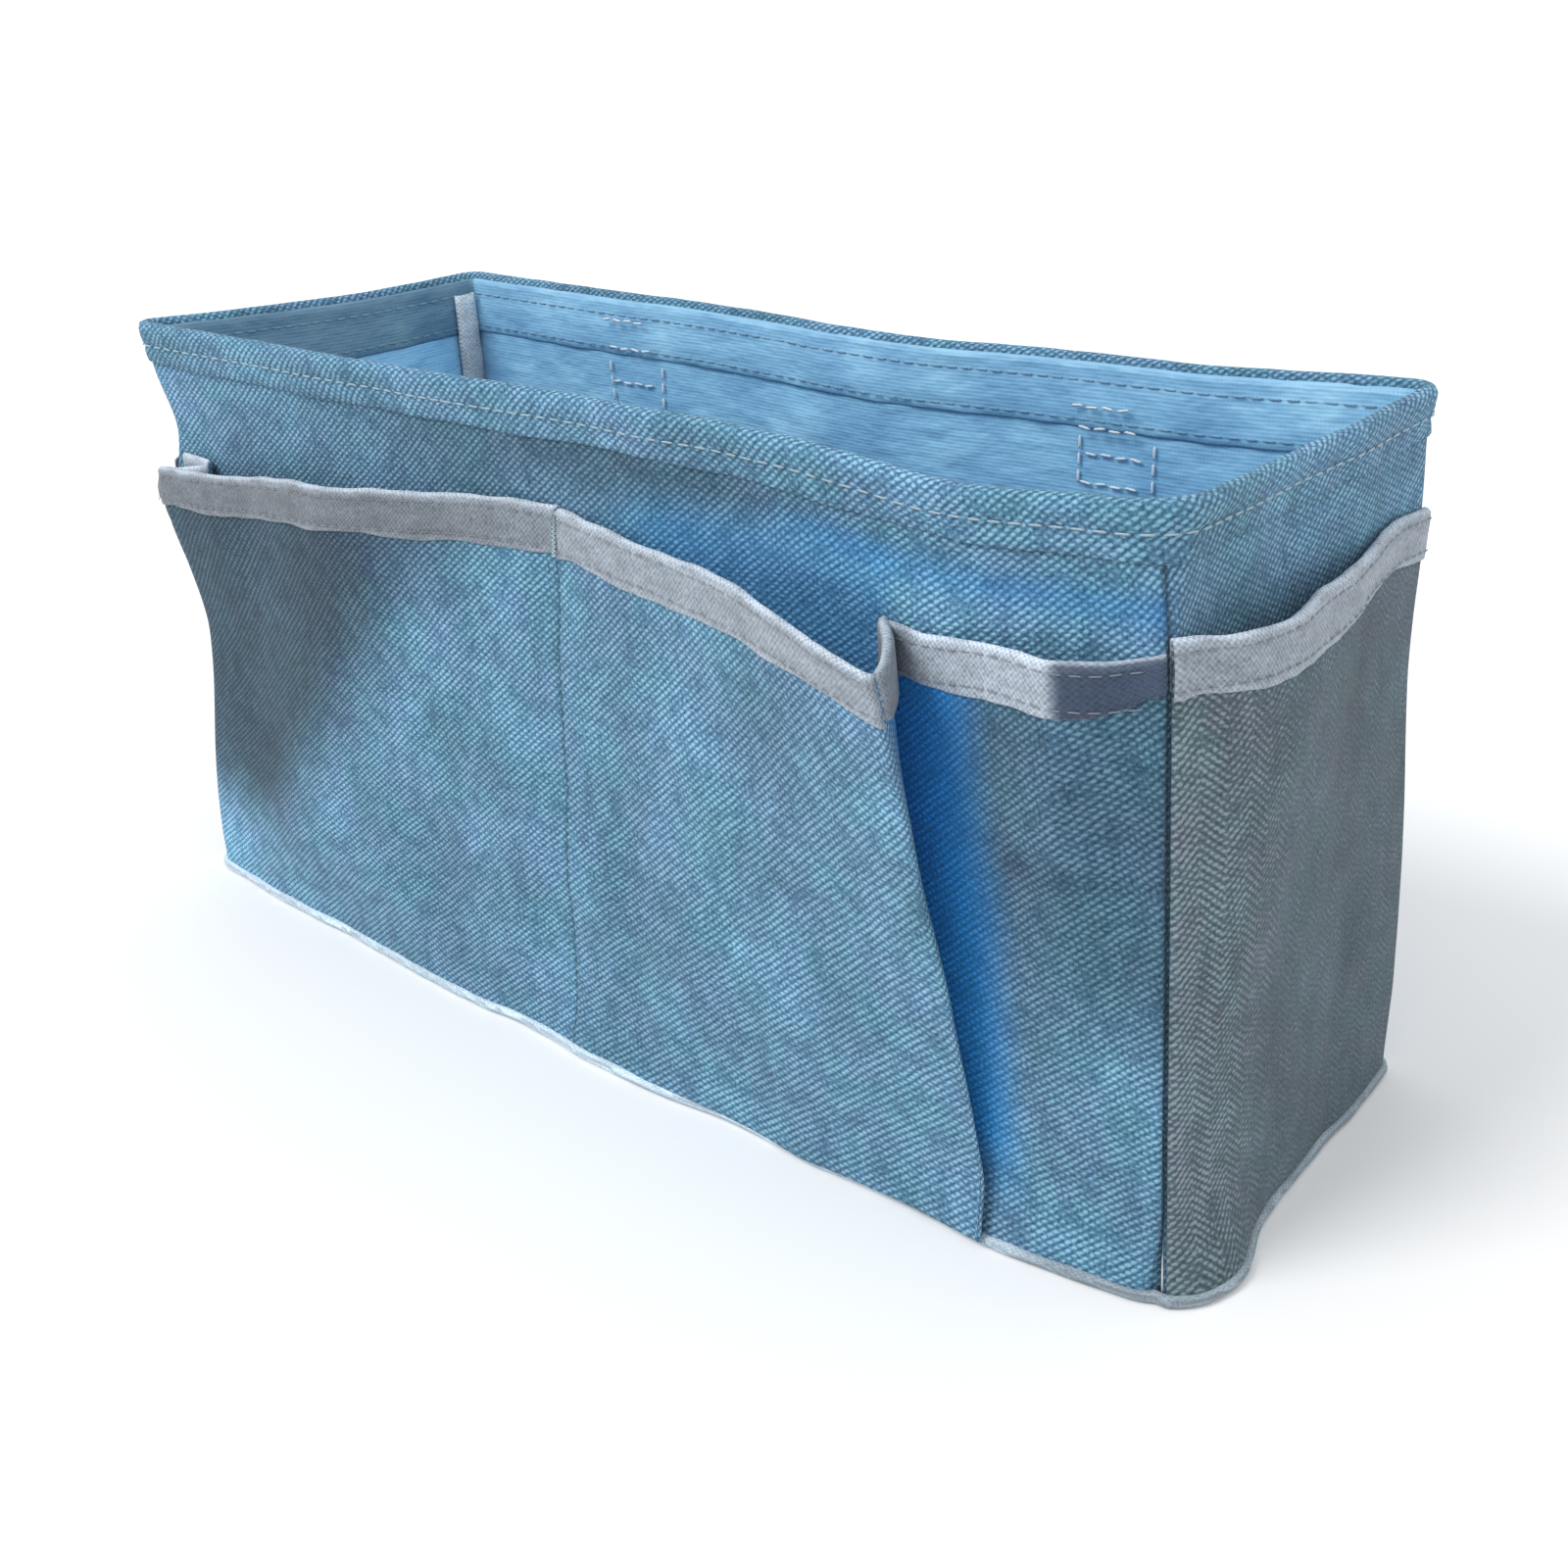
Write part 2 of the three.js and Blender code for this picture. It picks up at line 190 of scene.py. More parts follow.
def bow(side, s, a, z):
    """How far a wall stands out from the straight line between its corners."""
    window = math.sin(math.pi * min(1, max(0, s))) ** 0.8
    up = z / HEIGHT
    if side == "front":
        belly = 6.5 * (1 - up) ** 1.4
        neck = -1.6 * hill(z, 132, 14)
        foot = 3.5 * hill(a, 126, 20) * hill(z, 0, 13)
        fold = 1.2 * hill(z, crease_height(a) - 8, 5) - 1.5 * hill(z, crease_height(a), 3)
        shape = window * (belly + neck + foot + fold * smooth(40, 70, a)) + 1.6 * hill(a, 100, 22) * up
    elif side == "back":
        shape = window * (2 * (1 - up) - 4.5 * smooth(50, HEIGHT, z))
    elif side == "right":
        foot = 6 * hill(a, -38, 13) * hill(z, 0, 13)
        shape = foot + window * (1.2 * (1 - up) - 1.6 * hill(z, 136, 18))
    else:
        shape = window * (2 * (1 - up) - 3.5 * hill(z, *WAIST))
    seed = list(SIDES).index(side)
    creases = 0.9 * rough(seed, a, z, 34) + 0.35 * rough(seed + 5, a, z, 13)
    return shape + creases * window


def stretch(side, z):
    """A wall's first corner, its direction, its length, and where it starts along itself."""
    first, second = SIDES[side]
    start, end = CORNERS[first](z), CORNERS[second](z)
    along, span = (end - start).normalized(), (end - start).length
    first_place = start.dot(along) if side in ("front", "back") else -span / 2
    return start, along, span, first_place


def wall(side, a, z, out):
    """A point by a wall in metres: a along it from its middle, out from its outer cloth."""
    start, along, span, first_place = stretch(side, z)
    first, second = SIDES[side]
    outward = Vector((along.y, -along.x))
    place = a - first_place
    r1, r2 = corner_radius(first, z), corner_radius(second, z)
    normal, inward = outward, 0.0
    half_turn = math.pi / 4
    if place < r1:
        turn = min(1.0, (r1 - place) / r1) * half_turn
        place, inward = r1 - r1 * math.sin(turn), r1 * (1 - math.cos(turn))
        normal = outward * math.cos(turn) - along * math.sin(turn)
    elif place > span - r2:
        turn = min(1.0, (place - span + r2) / r2) * half_turn
        place, inward = span - r2 + r2 * math.sin(turn), r2 * (1 - math.cos(turn))
        normal = outward * math.cos(turn) + along * math.sin(turn)
    flat = start + along * place - outward * inward
    s = place / span
    to_seam = min(place, span - place)
    seam_dip = 0.7 * (1 - smooth(0, 1.6, to_seam))
    flat += normal * (out + bow(side, s, a, z) - seam_dip)
    height = z + rim_lift(side, s, flat.x) * smooth(70, HEIGHT, z)
    return Vector((flat.x, flat.y, height)) * MM


def ends(side, z):
    """Where a wall starts and ends along itself at a height."""
    _, _, span, first_place = stretch(side, z)
    return first_place, first_place + span


# ---- Materials ----

class Graph:
    """A short way to write node materials: each call adds a node and returns its output."""

    def __init__(self, name):
        self.material = bpy.data.materials.new(name)
        self.material.use_nodes = True
        self.tree = self.material.node_tree
        self.shader = self.tree.nodes["Principled BSDF"]

    def node(self, kind):
        return self.tree.nodes.new("ShaderNode" + kind)

    def put(self, socket, value):
        if isinstance(value, bpy.types.NodeSocket):
            self.tree.links.new(value, socket)
        else:
            socket.default_value = value

    def math(self, operation, a, b=0.0, c=0.0):
        node = self.node("Math")
        node.operation = operation
        for socket, value in zip(node.inputs, (a, b, c)):
            self.put(socket, value)
        return node.outputs[0]

    def plus(self, a, b):
        return self.math("ADD", a, b)

    def times(self, a, b):
        return self.math("MULTIPLY", a, b)

    def times_plus(self, a, b, c):
        return self.math("MULTIPLY_ADD", a, b, c)

    def wave(self, phase):
        """Cosine of a phase, from 0 to 1."""
        return self.times_plus(self.math("COSINE", phase), 0.5, 0.5)

    def attribute(self, name, output="Fac"):
        node = self.node("Attribute")
        node.attribute_name = name
        return node.outputs[output]

    def split(self, vector):
        node = self.node("SeparateXYZ")
        self.put(node.inputs[0], vector)
        return node.outputs[0], node.outputs[1]

    def stretched(self, vector, x, y):
        node = self.node("VectorMath")
        node.operation = "MULTIPLY"
        self.put(node.inputs[0], vector)
        node.inputs[1].default_value = (x, y, 1)
        return node.outputs[0]

    def noise(self, vector, scale, detail=2.0, roughness=0.5):
        node = self.node("TexNoise")
        for socket, value in (("Vector", vector), ("Scale", scale), ("Detail", detail),
                              ("Roughness", roughness)):
            self.put(node.inputs[socket], value)
        return node.outputs["Fac"]

    def ramp(self, factor, stops):
        node = self.node("ValToRGB")
        elements = node.color_ramp.elements
        while len(elements) < len(stops):
            elements.new(0.5)
        for element, (place, colour) in zip(elements, stops):
            element.position = place
            element.color = (*colour, 1)
        self.put(node.inputs[0], factor)
        return node.outputs[0]

    def mix(self, factor, a, b, blend="MIX"):
        node = self.node("Mix")
        node.data_type = "RGBA"
        node.blend_type = blend
        factor_in, colours_in = node.inputs[0], (node.inputs[6], node.inputs[7])
        self.put(factor_in, factor)
        for socket, value in zip(colours_in, (a, b)):
            self.put(socket, (*value, 1) if isinstance(value, tuple) else value)
        return node.outputs[2]

    def dimmed(self, colour, factor, low, high, amount=1.0):
        """A colour times a grey that runs from low to high with the factor."""
        grey = self.times_plus(factor, high - low, low)
        return self.mix(amount, colour, grey, "MULTIPLY")

    def toned(self, colour):
        """A colour made darker or paler by the painted light and shade that the mesh carries: at 0.5 it
        stays as it is.
        """
        return self.dimmed(colour, self.attribute("painted_light"), 0.0, 2.0)

    def bump(self, height, depth_mm, strength=1.0):
        node = self.node("Bump")
        node.inputs["Strength"].default_value = strength
        node.inputs["Distance"].default_value = depth_mm * MM
        self.put(node.inputs["Height"], height)
        self.put(self.shader.inputs["Normal"], node.outputs[0])

    def finish(self, colour, roughness, sheen=0.0, specular=0.3):
        for socket, value in (("Base Color", colour), ("Roughness", roughness), ("Sheen Weight", sheen),
                              ("Sheen Roughness", 0.5), ("Specular IOR Level", specular)):
            self.put(self.shader.inputs[socket], value)
        return self.material


def srgb(r, g, b):
    """A colour given as on a colour card, from 0 to 255, made linear."""
    return tuple(((c / 255 + 0.055) / 1.055) ** 2.4 for c in (r, g, b))


def woven(name, dark, middle, light, shade, herringbone=None):
    """Coarse twill: ribs that climb to the right, broken into short yarn floats.

    As herringbone the ribs turn back every so many millimetres, and fade away from the cloth's edge.
    """
    rib_width, rib_slope = 1.75, 0.85
    yarn_length, yarn_slope = 1.35, 0.45
    g = Graph(name)
    place = g.attribute("cloth", "Vector")
    u, v = g.split(place)
    across = g.math("PINGPONG", u, herringbone) if herringbone else u
    sway = g.noise(place, 0.1, 1)
    climb = g.times_plus(across, rib_slope, g.times(v, -1.0))
    slant = g.times(climb, 2 * math.pi / rib_width)
    rib = g.wave(g.times_plus(sway, 4.0, slant))
    step = g.times_plus(across, yarn_slope, v)
    yarn = g.wave(g.times(step, 2 * math.pi / yarn_length))
    fibre = g.noise(place, 1.3, 3, 0.75)
    strength = g.times_plus(g.noise(place, 0.22, 2), 1.0, -0.14)
    if herringbone:
        from_edge = g.math("MAXIMUM", g.times_plus(u, -0.03, 1.4), 0.35)
        strength = g.times(strength, from_edge)
    floats = g.times(rib, g.times_plus(yarn, 0.7, 0.3))
    weave = g.times(floats, strength)
    height = g.times_plus(fibre, 0.8, weave)
    colour = g.ramp(height, [(0.33, dark), (0.51, middle), (0.72, light)])
    teal, lilac = (0.84, 1.05, 0.96), (1.12, 0.97, 1.06)
    hue = g.ramp(g.noise(place, 0.05, 3, 0.6), [(0.4, teal), (0.6, lilac)])
    colour = g.mix(0.45, colour, hue, "MULTIPLY")
    streaks = g.noise(g.stretched(place, 0.6, 0.1), 1.0, 2)
    colour = g.dimmed(colour, streaks, 0.7, 1.3, amount=0.7)
    # The mesh's painted light and shade darken or pale the cloth; below, its painted deep shade colours it
    # toward the shade colour, keeping the weave.
    colour = g.toned(g.dimmed(colour, g.noise(place, 0.035, 3, 0.55), 0.45, 1.55))
    colour = g.mix(g.attribute("shade"), colour, g.dimmed(shade, height, 0.0, 2.2))
    g.bump(height, 0.5)
    return g.finish(colour, g.times_plus(fibre, 0.2, 0.72), sheen=0.1, specular=0.2)


def lining_cloth():
    """Thin coated cloth: fine even weave, soft clouds and a sheen."""
    g = Graph("lining_cloth")
    place = g.attribute("cloth", "Vector")
    u, v = g.split(place)
    threads = 7.2  # of phase to a millimetre
    weave = g.plus(g.wave(g.times(u, threads)), g.wave(g.times(v, threads)))
    clouds = g.noise(place, 0.045, 3, 0.55)
    blues = [(0.3, srgb(117, 168, 206)), (0.55, srgb(135, 188, 220)), (0.75, srgb(155, 205, 231))]
    pulls = g.noise(g.stretched(place, 0.03, 0.12), 1.0, 2)
    # The mesh's painted light and shade make the lining paler or darker.
    colour = g.toned(g.dimmed(g.ramp(clouds, blues), pulls, 0.75, 1.25, amount=0.3))
    puckers = g.noise(g.stretched(place, 0.1, 0.22), 1.0, 2)
    g.bump(g.times_plus(puckers, 3.0, g.times(weave, 0.12)), 0.35)
    return g.finish(colour, g.times_plus(clouds, 0.25, 0.3), sheen=0.1, specular=0.5)


def bias_tape(name, dark, light):
    """Thin plain-woven tape cut on the slant, creased lengthways by its folds."""
    g = Graph(name)
    place = g.attribute("cloth", "Vector")
    u, v = g.split(place)
    threads = 5.2  # of phase to a millimetre
    first = g.wave(g.times(g.plus(u, v), threads))
    second = g.wave(g.times(g.math("SUBTRACT", u, v), threads))
    fibre = g.noise(place, 1.1, 3, 0.6)
    height = g.times_plus(fibre, 0.9, g.times(g.plus(first, second), 0.16))
    colour = g.ramp(height, [(0.3, dark), (0.85, light)])
    blotches = g.noise(g.stretched(place, 0.12, 0.3), 1.0, 2)
    # The mesh's painted light and shade darken or pale the tape; below, its painted shade colours it toward
    # the shade grey.
    colour = g.toned(g.dimmed(colour, blotches, 0.5, 1.5, amount=0.9))
    colour = g.mix(g.attribute("shade"), colour, g.dimmed(PAINTED_SHADE_GREY, height, 0.3, 1.5))
    g.bump(height, 0.3)
    return g.finish(colour, 0.82, sheen=0.2, specular=0.2)


def sewing_thread(name, dark, light):
    """Twisted thread."""
    g = Graph(name)
    u, v = g.split(g.attribute("cloth", "Vector"))
    twist = g.wave(g.times(g.plus(u, v), 14.0))
    colour = g.ramp(twist, [(0.0, dark), (1.0, light)])
    g.bump(twist, 0.05)
    return g.finish(colour, 0.55, specular=0.4)


def webbing():
    """Ribbed strap with a herringbone down its middle."""
    g = Graph("webbing")
    place = g.attribute("cloth", "Vector")
    u, v = g.split(place)
    chevron = g.times_plus(g.math("PINGPONG", u, 5.0), 1.6, g.times(v, 2.6))
    ribs = g.wave(chevron)
    fibre = g.noise(place, 1.5, 3)
    height = g.times_plus(fibre, 0.5, g.times(ribs, 0.5))
    colour = g.ramp(height, [(0.2, srgb(48, 84, 118)), (0.8, srgb(104, 146, 178))])
    g.bump(height, 0.5)
    return g.finish(colour, 0.75, sheen=0.15)


def plastic_board():
    """Grained polypropylene sheet, scuffed by tools."""
    g = Graph("plastic_board")
    place = g.attribute("cloth", "Vector")
    grain = g.noise(place, 1.4, 4, 0.6)
    scuffs = g.noise(g.stretched(place, 0.02, 0.25), 1.0, 3, 0.7)
    colour = g.ramp(scuffs, [(0.35, srgb(92, 108, 126)), (0.7, srgb(124, 140, 156))])
    g.bump(grain, 0.12)
    return g.finish(colour, g.times_plus(scuffs, 0.3, 0.3), specular=0.4)


def foam_sheet():
    """White closed-cell foam."""
    g = Graph("foam_sheet")
    place = g.attribute("cloth", "Vector")
    cells = g.noise(place, 0.8, 4, 0.7)
    colour = g.ramp(cells, [(0.3, srgb(205, 208, 210)), (0.7, srgb(236, 238, 239))])
    g.bump(cells, 0.2)
    return g.finish(colour, 0.85)


# Painted shade: cloth and tape are coloured toward these where the mesh marks them as lying in shade.
PAINTED_SHADE_BLUE = srgb(22, 120, 186)
PAINTED_SHADE_GREY = srgb(52, 66, 88)
WOVEN = woven("woven_cloth", srgb(44, 80, 106), srgb(84, 126, 154), srgb(134, 178, 202), PAINTED_SHADE_BLUE)
# The end pockets' cloth: a herringbone, coloured greyer and darker than the front, partly as painted shade.
WOVEN_END_PAINTED_SHADE = woven("woven_cloth_end_painted_shade", srgb(60, 76, 86), srgb(94, 110, 120), srgb(142, 158, 166), PAINTED_SHADE_BLUE,
                  herringbone=5.5)
LINING = lining_cloth()
TAPE_CLOTH = bias_tape("bias_tape", srgb(104, 113, 129), srgb(174, 184, 192))
SEAM_TAPE = bias_tape("seam_tape", srgb(124, 142, 158), srgb(212, 218, 220))
PIPING = bias_tape("piping_cloth", srgb(152, 184, 206), srgb(224, 236, 244))
THREAD = sewing_thread("sewing_thread", srgb(150, 182, 200), srgb(214, 230, 236))
FACING_THREAD = sewing_thread("facing_thread", srgb(120, 164, 194), srgb(168, 204, 224))
LINING_THREAD = sewing_thread("lining_thread", srgb(196, 220, 236), srgb(250, 252, 254))
TAPE_THREAD = sewing_thread("tape_thread", srgb(132, 138, 150), srgb(190, 194, 202))
SEAM_THREAD = sewing_thread("seam_thread", srgb(88, 130, 158), srgb(128, 172, 196))
WEBBING = webbing()
BOARD = plastic_board()
FOAM = foam_sheet()


# ---- Mesh helpers ----

PLAIN_TONE = 0.5


def add_to_scene(thing):
    bpy.context.scene.collection.objects.link(thing)


def finish_piece(piece, material, nodes, body="organizer"):
    piece.data.materials.append(material)
    add_to_scene(piece)
    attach(piece, body)
    if nodes:
        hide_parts(*nodes)
    return piece


def grid_mesh(piece_name, columns, rows, point, closed=False):
    """A sheet from point(i, j), which gives place, cloth coordinates and, if not plain, its painted light
    and shade and its painted deep shade.
    """
    plain = (PLAIN_TONE, 0.0)
    samples = [point(i, j) for j in range(rows) for i in range(columns)]
    samples = [(*sample, *plain[len(sample) - 2:]) for sample in samples]
    wrap = columns if closed else columns - 1
    faces = []
    for j in range(rows - 1):
        for i in range(wrap):
            k = (i + 1) % columns
            faces.append((j * columns + i, j * columns + k, (j + 1) * columns + k, (j + 1) * columns + i))
    mesh = bpy.data.meshes.new(piece_name)
    mesh.from_pydata([sample[0] for sample in samples], [], faces)
    cloth = [c for sample in samples for c in (*sample[1], 0.0)]
    mesh.attributes.new("cloth", "FLOAT_VECTOR", "POINT").data.foreach_set("vector", cloth)
    for part, name in ((2, "painted_light"), (3, "shade")):
        values = [sample[part] for sample in samples]
        mesh.attributes.new(name, "FLOAT", "POINT").data.foreach_set("value", values)
    mesh.shade_smooth()
    return bpy.data.objects.new(piece_name, mesh)


def thicken(piece, thickness_mm):
    """Thickness is added behind the face whose outline runs anticlockwise."""
    solid = piece.modifiers.new("thickness", "SOLIDIFY")
    solid.thickness = thickness_mm * MM
    solid.offset = -1
    return piece


def reworked(piece, change):
    """A piece after a change to its mesh, its faces turned outward."""
    mesh = bmesh.new()
    mesh.from_mesh(piece.data)
    change(mesh)
    bmesh.ops.recalc_face_normals(mesh, faces=mesh.faces)
    mesh.to_mesh(piece.data)
    mesh.free()
    return piece


def laid_flat(piece, columns, rows, closed):
    """Mean height and length of a gridded sheet along its own surface, in metres."""
    place = [v.co for v in piece.data.vertices]
    rows_length = sum((place[j * columns + i] - place[j * columns + i - 1]).length
                      for j in range(rows) for i in range(0 if closed else 1, columns))
    columns_length = sum((place[k] - place[k - columns]).length for k in range(columns, rows * columns))
    return columns_length / columns, rows_length / rows


def cloth_sheet(name, columns, rows, point, thickness, material, nodes, closed=False, flat=None):
    piece = thicken(grid_mesh(name, columns, rows, point, closed), thickness)
    finish_piece(piece, material, nodes)
    flat or laid_flat(piece, columns, rows, closed)


STITCH_SIDES = 6
STITCH_SECTIONS = ((0.0, 0.45), (0.2, 1.0), (0.8, 1.0), (1.0, 0.45))  # share of length, of radius
ACROSS_SEAMS = Vector((0.31, 0.22, 0.93))  # a direction in which no seam runs


def stitches(name, paths, length=2.6, gap=1.1, radius=0.24, thread=THREAD):
    """Rows of stitches: short rounded dashes of thread laid along each path of points in metres."""
    mesh = bmesh.new()
    layer = mesh.verts.layers.float_vector.new("cloth")
    for path in paths:
        lengths = [0.0]
        for p, q in zip(path, path[1:]):
            lengths.append(lengths[-1] + (q - p).length / MM)
        pitch = length + gap
        for k in range(int(lengths[-1] / pitch)):
            ring_before = None
            for share, width in STITCH_SECTIONS:
                distance = k * pitch + share * length
                place, ahead = along_path(path, lengths, distance)
                side = ahead.cross(ACROSS_SEAMS).normalized()
                up = side.cross(ahead)
                ring = []
                for turn in range(STITCH_SIDES):
                    angle = 2 * math.pi * turn / STITCH_SIDES
                    offset = (side * math.cos(angle) + up * math.sin(angle)) * radius * width * MM
                    vert = mesh.verts.new(place + offset)
                    vert[layer] = (distance, turn, 0)
                    ring.append(vert)
                if ring_before:
                    for turn in range(STITCH_SIDES):
                        after = (turn + 1) % STITCH_SIDES
                        mesh.faces.new((ring_before[turn], ring_before[after], ring[after], ring[turn]))
                else:
                    mesh.faces.new(ring[::-1])
                ring_before = ring
            mesh.faces.new(ring_before)
    data = bpy.data.meshes.new(name)
    mesh.to_mesh(data)
    mesh.free()
    data.shade_smooth()
    return finish_piece(bpy.data.objects.new(name, data), thread, ())


def along_path(path, lengths, distance):
    """The point and the direction at a distance in millimetres along a path."""
    for k in range(len(path) - 1):
        if distance <= lengths[k + 1] or k == len(path) - 2:
            span = max(1e-6, lengths[k + 1] - lengths[k])
            ahead = (path[k + 1] - path[k]).normalized()
            return path[k].lerp(path[k + 1], (distance - lengths[k]) / span), ahead


# ---- Walls ----

FRONT_PAINTED_LIGHT = (  # painted shade and painted sheen: darker and paler places above the pockets
    (-0.26, (5, 62), (141, 13)),
    (0.06, (-136, 12), (137, 9)),
    (-0.07, (-110, 14), (128, 8)),
    (0.14, (115, 30), (127, 6)),
)


def front_shade(a, z):
    """Where folds of the front cloth above the pockets lie in deep shade."""
    over_tape = 0.4 * smooth(5, 35, a) * (1 - smooth(84, 92, a)) * (1 - smooth(126, 139, z))
    crease = 0.34 * smooth(50, 75, a) * hill(z, crease_height(a), 3.2)
    return min(1.0, over_tape + crease)


def seam_shadow(side, a, z):
    """Cloth darkens where it dives into the seam at the box's upright corners."""
    first, last = ends(side, z)
    return 0.28 * (1 - smooth(0.3, 1.4, min(a - first, last - a)))


def wall_sheet(name, side, out, bottom, top, thickness, material, flip=False):
    """One layer of a wall, from corner to corner."""
    columns, rows = (150, 76) if side in ("front", "back") else (64, 76)
    node = f"{side}_{name}"
    is_front = node == "front_outer_panel"
    crowding = 0.7  # of the columns towards the corners

    def point(i, j):
        z = lerp(bottom, top, j / (rows - 1))
        first, last = ends(side, z)
        t = i / (columns - 1)
        t = lerp(t, 0.5 - 0.5 * math.cos(math.pi * t), crowding)
        a = lerp(first, last, 1 - t if flip else t)
        # Painted light: the left lining is coloured paler as a painted sheen, the front's outer cloth takes
        # painted shade and sheen above the pockets and painted deep shade in its folds, and every wall is
        # coloured darker at its corner seams as painted shadow.
        painted_light = 0.62 if node == "left_lining" else PLAIN_TONE
        painted_light += patches(FRONT_PAINTED_LIGHT, a, z) if is_front else 0.0
        deep = front_shade(a, z) if is_front else 0.0
        return wall(side, a, z, out), (a, z), painted_light - seam_shadow(side, a, z), deep

    cloth_sheet(node + "_cloth", columns, rows, point, thickness, material, [node])


def make_walls():
    for side in SIDES:
        wall_sheet("outer_panel", side, 0.0, 0.9, HEIGHT - 2, CLOTH, WOVEN)
        wall_sheet("stiffener", side, FOAM_OUT, 1.5, LAYER_TOP, FOAM_THICKNESS, FOAM)
        wall_sheet("lining", side, LINING_OUT, 1.9, LAYER_TOP, LINING_THICKNESS, LINING, flip=True)


RIM_SEAM_DROP = 5.6
HEM_PROFILE = [  # height from the top of the rim, and how far out
    (-10.4, 0.5), (-10.1, 0.95), (-8.5, 1.1), (-6.5, 1.05), (-5.6, 0.75), (-4.7, 1.1), (-3.0, 1.3),
    (-1.5, 1.25), (-0.4, 0.8), (0.0, -0.1), (0.0, -0.9), (-0.5, -1.6), (-1.6, -2.1), (-3.4, -2.4),
    (-5.6, -2.4),
]
FACING_PROFILE = [
    (-1.6, -2.2), (-1.9, -2.75), (-3.4, -3.1), (-5.6, -2.9), (-8.0, -3.5), (-12.0, -3.7),
    (-15.4, -3.7), (-16.2, -3.4),
]


def running_length(profile):
    """Distance along a profile to each of its points."""
    lengths = [0.0]
    for p, q in zip(profile, profile[1:]):
        lengths.append(lengths[-1] + math.dist(p, q))
    return lengths


def perimeter(per_mm=0.7):
    """Places round the box as (side, share of that side)."""
    places = []
    for side in SIDES:
        span = 2 * (BASE_HALF_X if side in ("front", "back") else BASE_HALF_Y)
        count = int(span * per_mm)
        places += [(side, i / count) for i in range(count)]
    return places


def round_box(side, share, z, out):
    first, last = ends(side, z)
    return wall(side, lerp(first, last, share), z, out)


def around_position(places):
    """Running distance round the box for each place."""
    total, result = 0.0, []
    for place, following in zip(places, places[1:] + places[:1]):
        result.append(total)
        total += (round_box(*following, HEIGHT, 0) - round_box(*place, HEIGHT, 0)).length / MM
    return result


def make_rim():
    places = perimeter()
    distance = around_position(places)
    hem_length, facing_length = running_length(HEM_PROFILE), running_length(FACING_PROFILE)

    def point(i, j):
        side, share = places[i]
        drop, out = HEM_PROFILE[j]
        pressed_flat = smooth(0.25, 0.5, share) if side == "front" else 1.0
        if j < 4 and side in ("front", "right"):
            out *= 1 - 0.45 * pressed_flat * (1 - smooth(-7, -4, drop))
        pucker = 0.25 * rough(11, distance[i], j * 3, 6)
        waver = 0.5 * rough(12, distance[i], 0, 25) if j < 3 else 0
        place = round_box(side, share, HEIGHT + drop + waver, out + pucker)
        # Painted highlight along the rim's top fold, and painted shade along the hem's lower edge.
        painted_light = 0.5 + 0.09 * hill(j, 8.5, 1.6) - 0.07 * hill(j, 0, 1.2)
        return place, (distance[i], hem_length[j]), painted_light

    nodes = [f"{side}_rim_hem" for side in SIDES]
    cloth_sheet("rim_fold_cloth", len(places), len(HEM_PROFILE), point, HEM_THICKNESS, WOVEN, nodes,
                closed=True)

    def facing_point(i, j):
        side, share = places[i]
        drop, out = FACING_PROFILE[j]
        pucker = 0.3 * rough(13, distance[i], j * 2, 8)
        place = round_box(side, share, HEIGHT + drop, out + pucker)
        # Painted shade: the facing is coloured darker along the left wall.
        return place, (distance[i], facing_length[j]), 0.25 if side == "left" else 0.48

    cloth_sheet("rim_facing_cloth", len(places), len(FACING_PROFILE), facing_point, FACING_THICKNESS,
                LINING, (), closed=True)
    for name, out, thread in (("outside", 1.0, THREAD), ("inside", -3.15, FACING_THREAD)):
        row = [round_box(side, share, HEIGHT - RIM_SEAM_DROP, out) for side, share in places]
        stitches(f"rim_stitches_{name}", [row + row[:1]], length=2.8, gap=1.2, thread=thread)
    lower = [round_box(side, share, FACING_BOTTOM + 1.8, -4.1) for side, share in places]
    stitches("facing_stitches", [lower + lower[:1]], gap=1.4, radius=0.2, thread=FACING_THREAD)


# ---- Floor ----

FOOT_PLACES = perimeter(0.6)
FOOT_STEP = 1.6  # roughly, in millimetres from one place to the next


def base_outline(inset):
    """Points round the foot of the box, inset from the outer cloth, in metres."""
    return [round_box(side, share, 1.0, -inset) for side, share in FOOT_PLACES]


def flat_disc(name, outline, z, thickness, material, nodes):
    """A flat sheet that fills an outline, as a fan of rings that shrink to the middle."""
    rings = 14
    innermost = 1e-3  # share of the outline's size

    def point(i, j):
        edge = outline[i].copy()
        edge.z = 0
        place = edge * max(innermost, 1 - j / (rings - 1))
        place.z = z * MM
        return place, (place.x / MM, place.y / MM)

    size = (2 * BASE_HALF_Y * MM, 2 * BASE_HALF_X * MM)
    cloth_sheet(name, len(outline), rings, point, thickness, material, nodes, closed=True, flat=size)


def make_floor():
    flat_disc("base_cloth", base_outline(0.2)[::-1], 0.05, CLOTH, WOVEN, ["base_outer_panel"])
    flat_disc("floor_lining_cloth", base_outline(3.6), 1.5, LINING_THICKNESS, LINING, ["base_lining"])


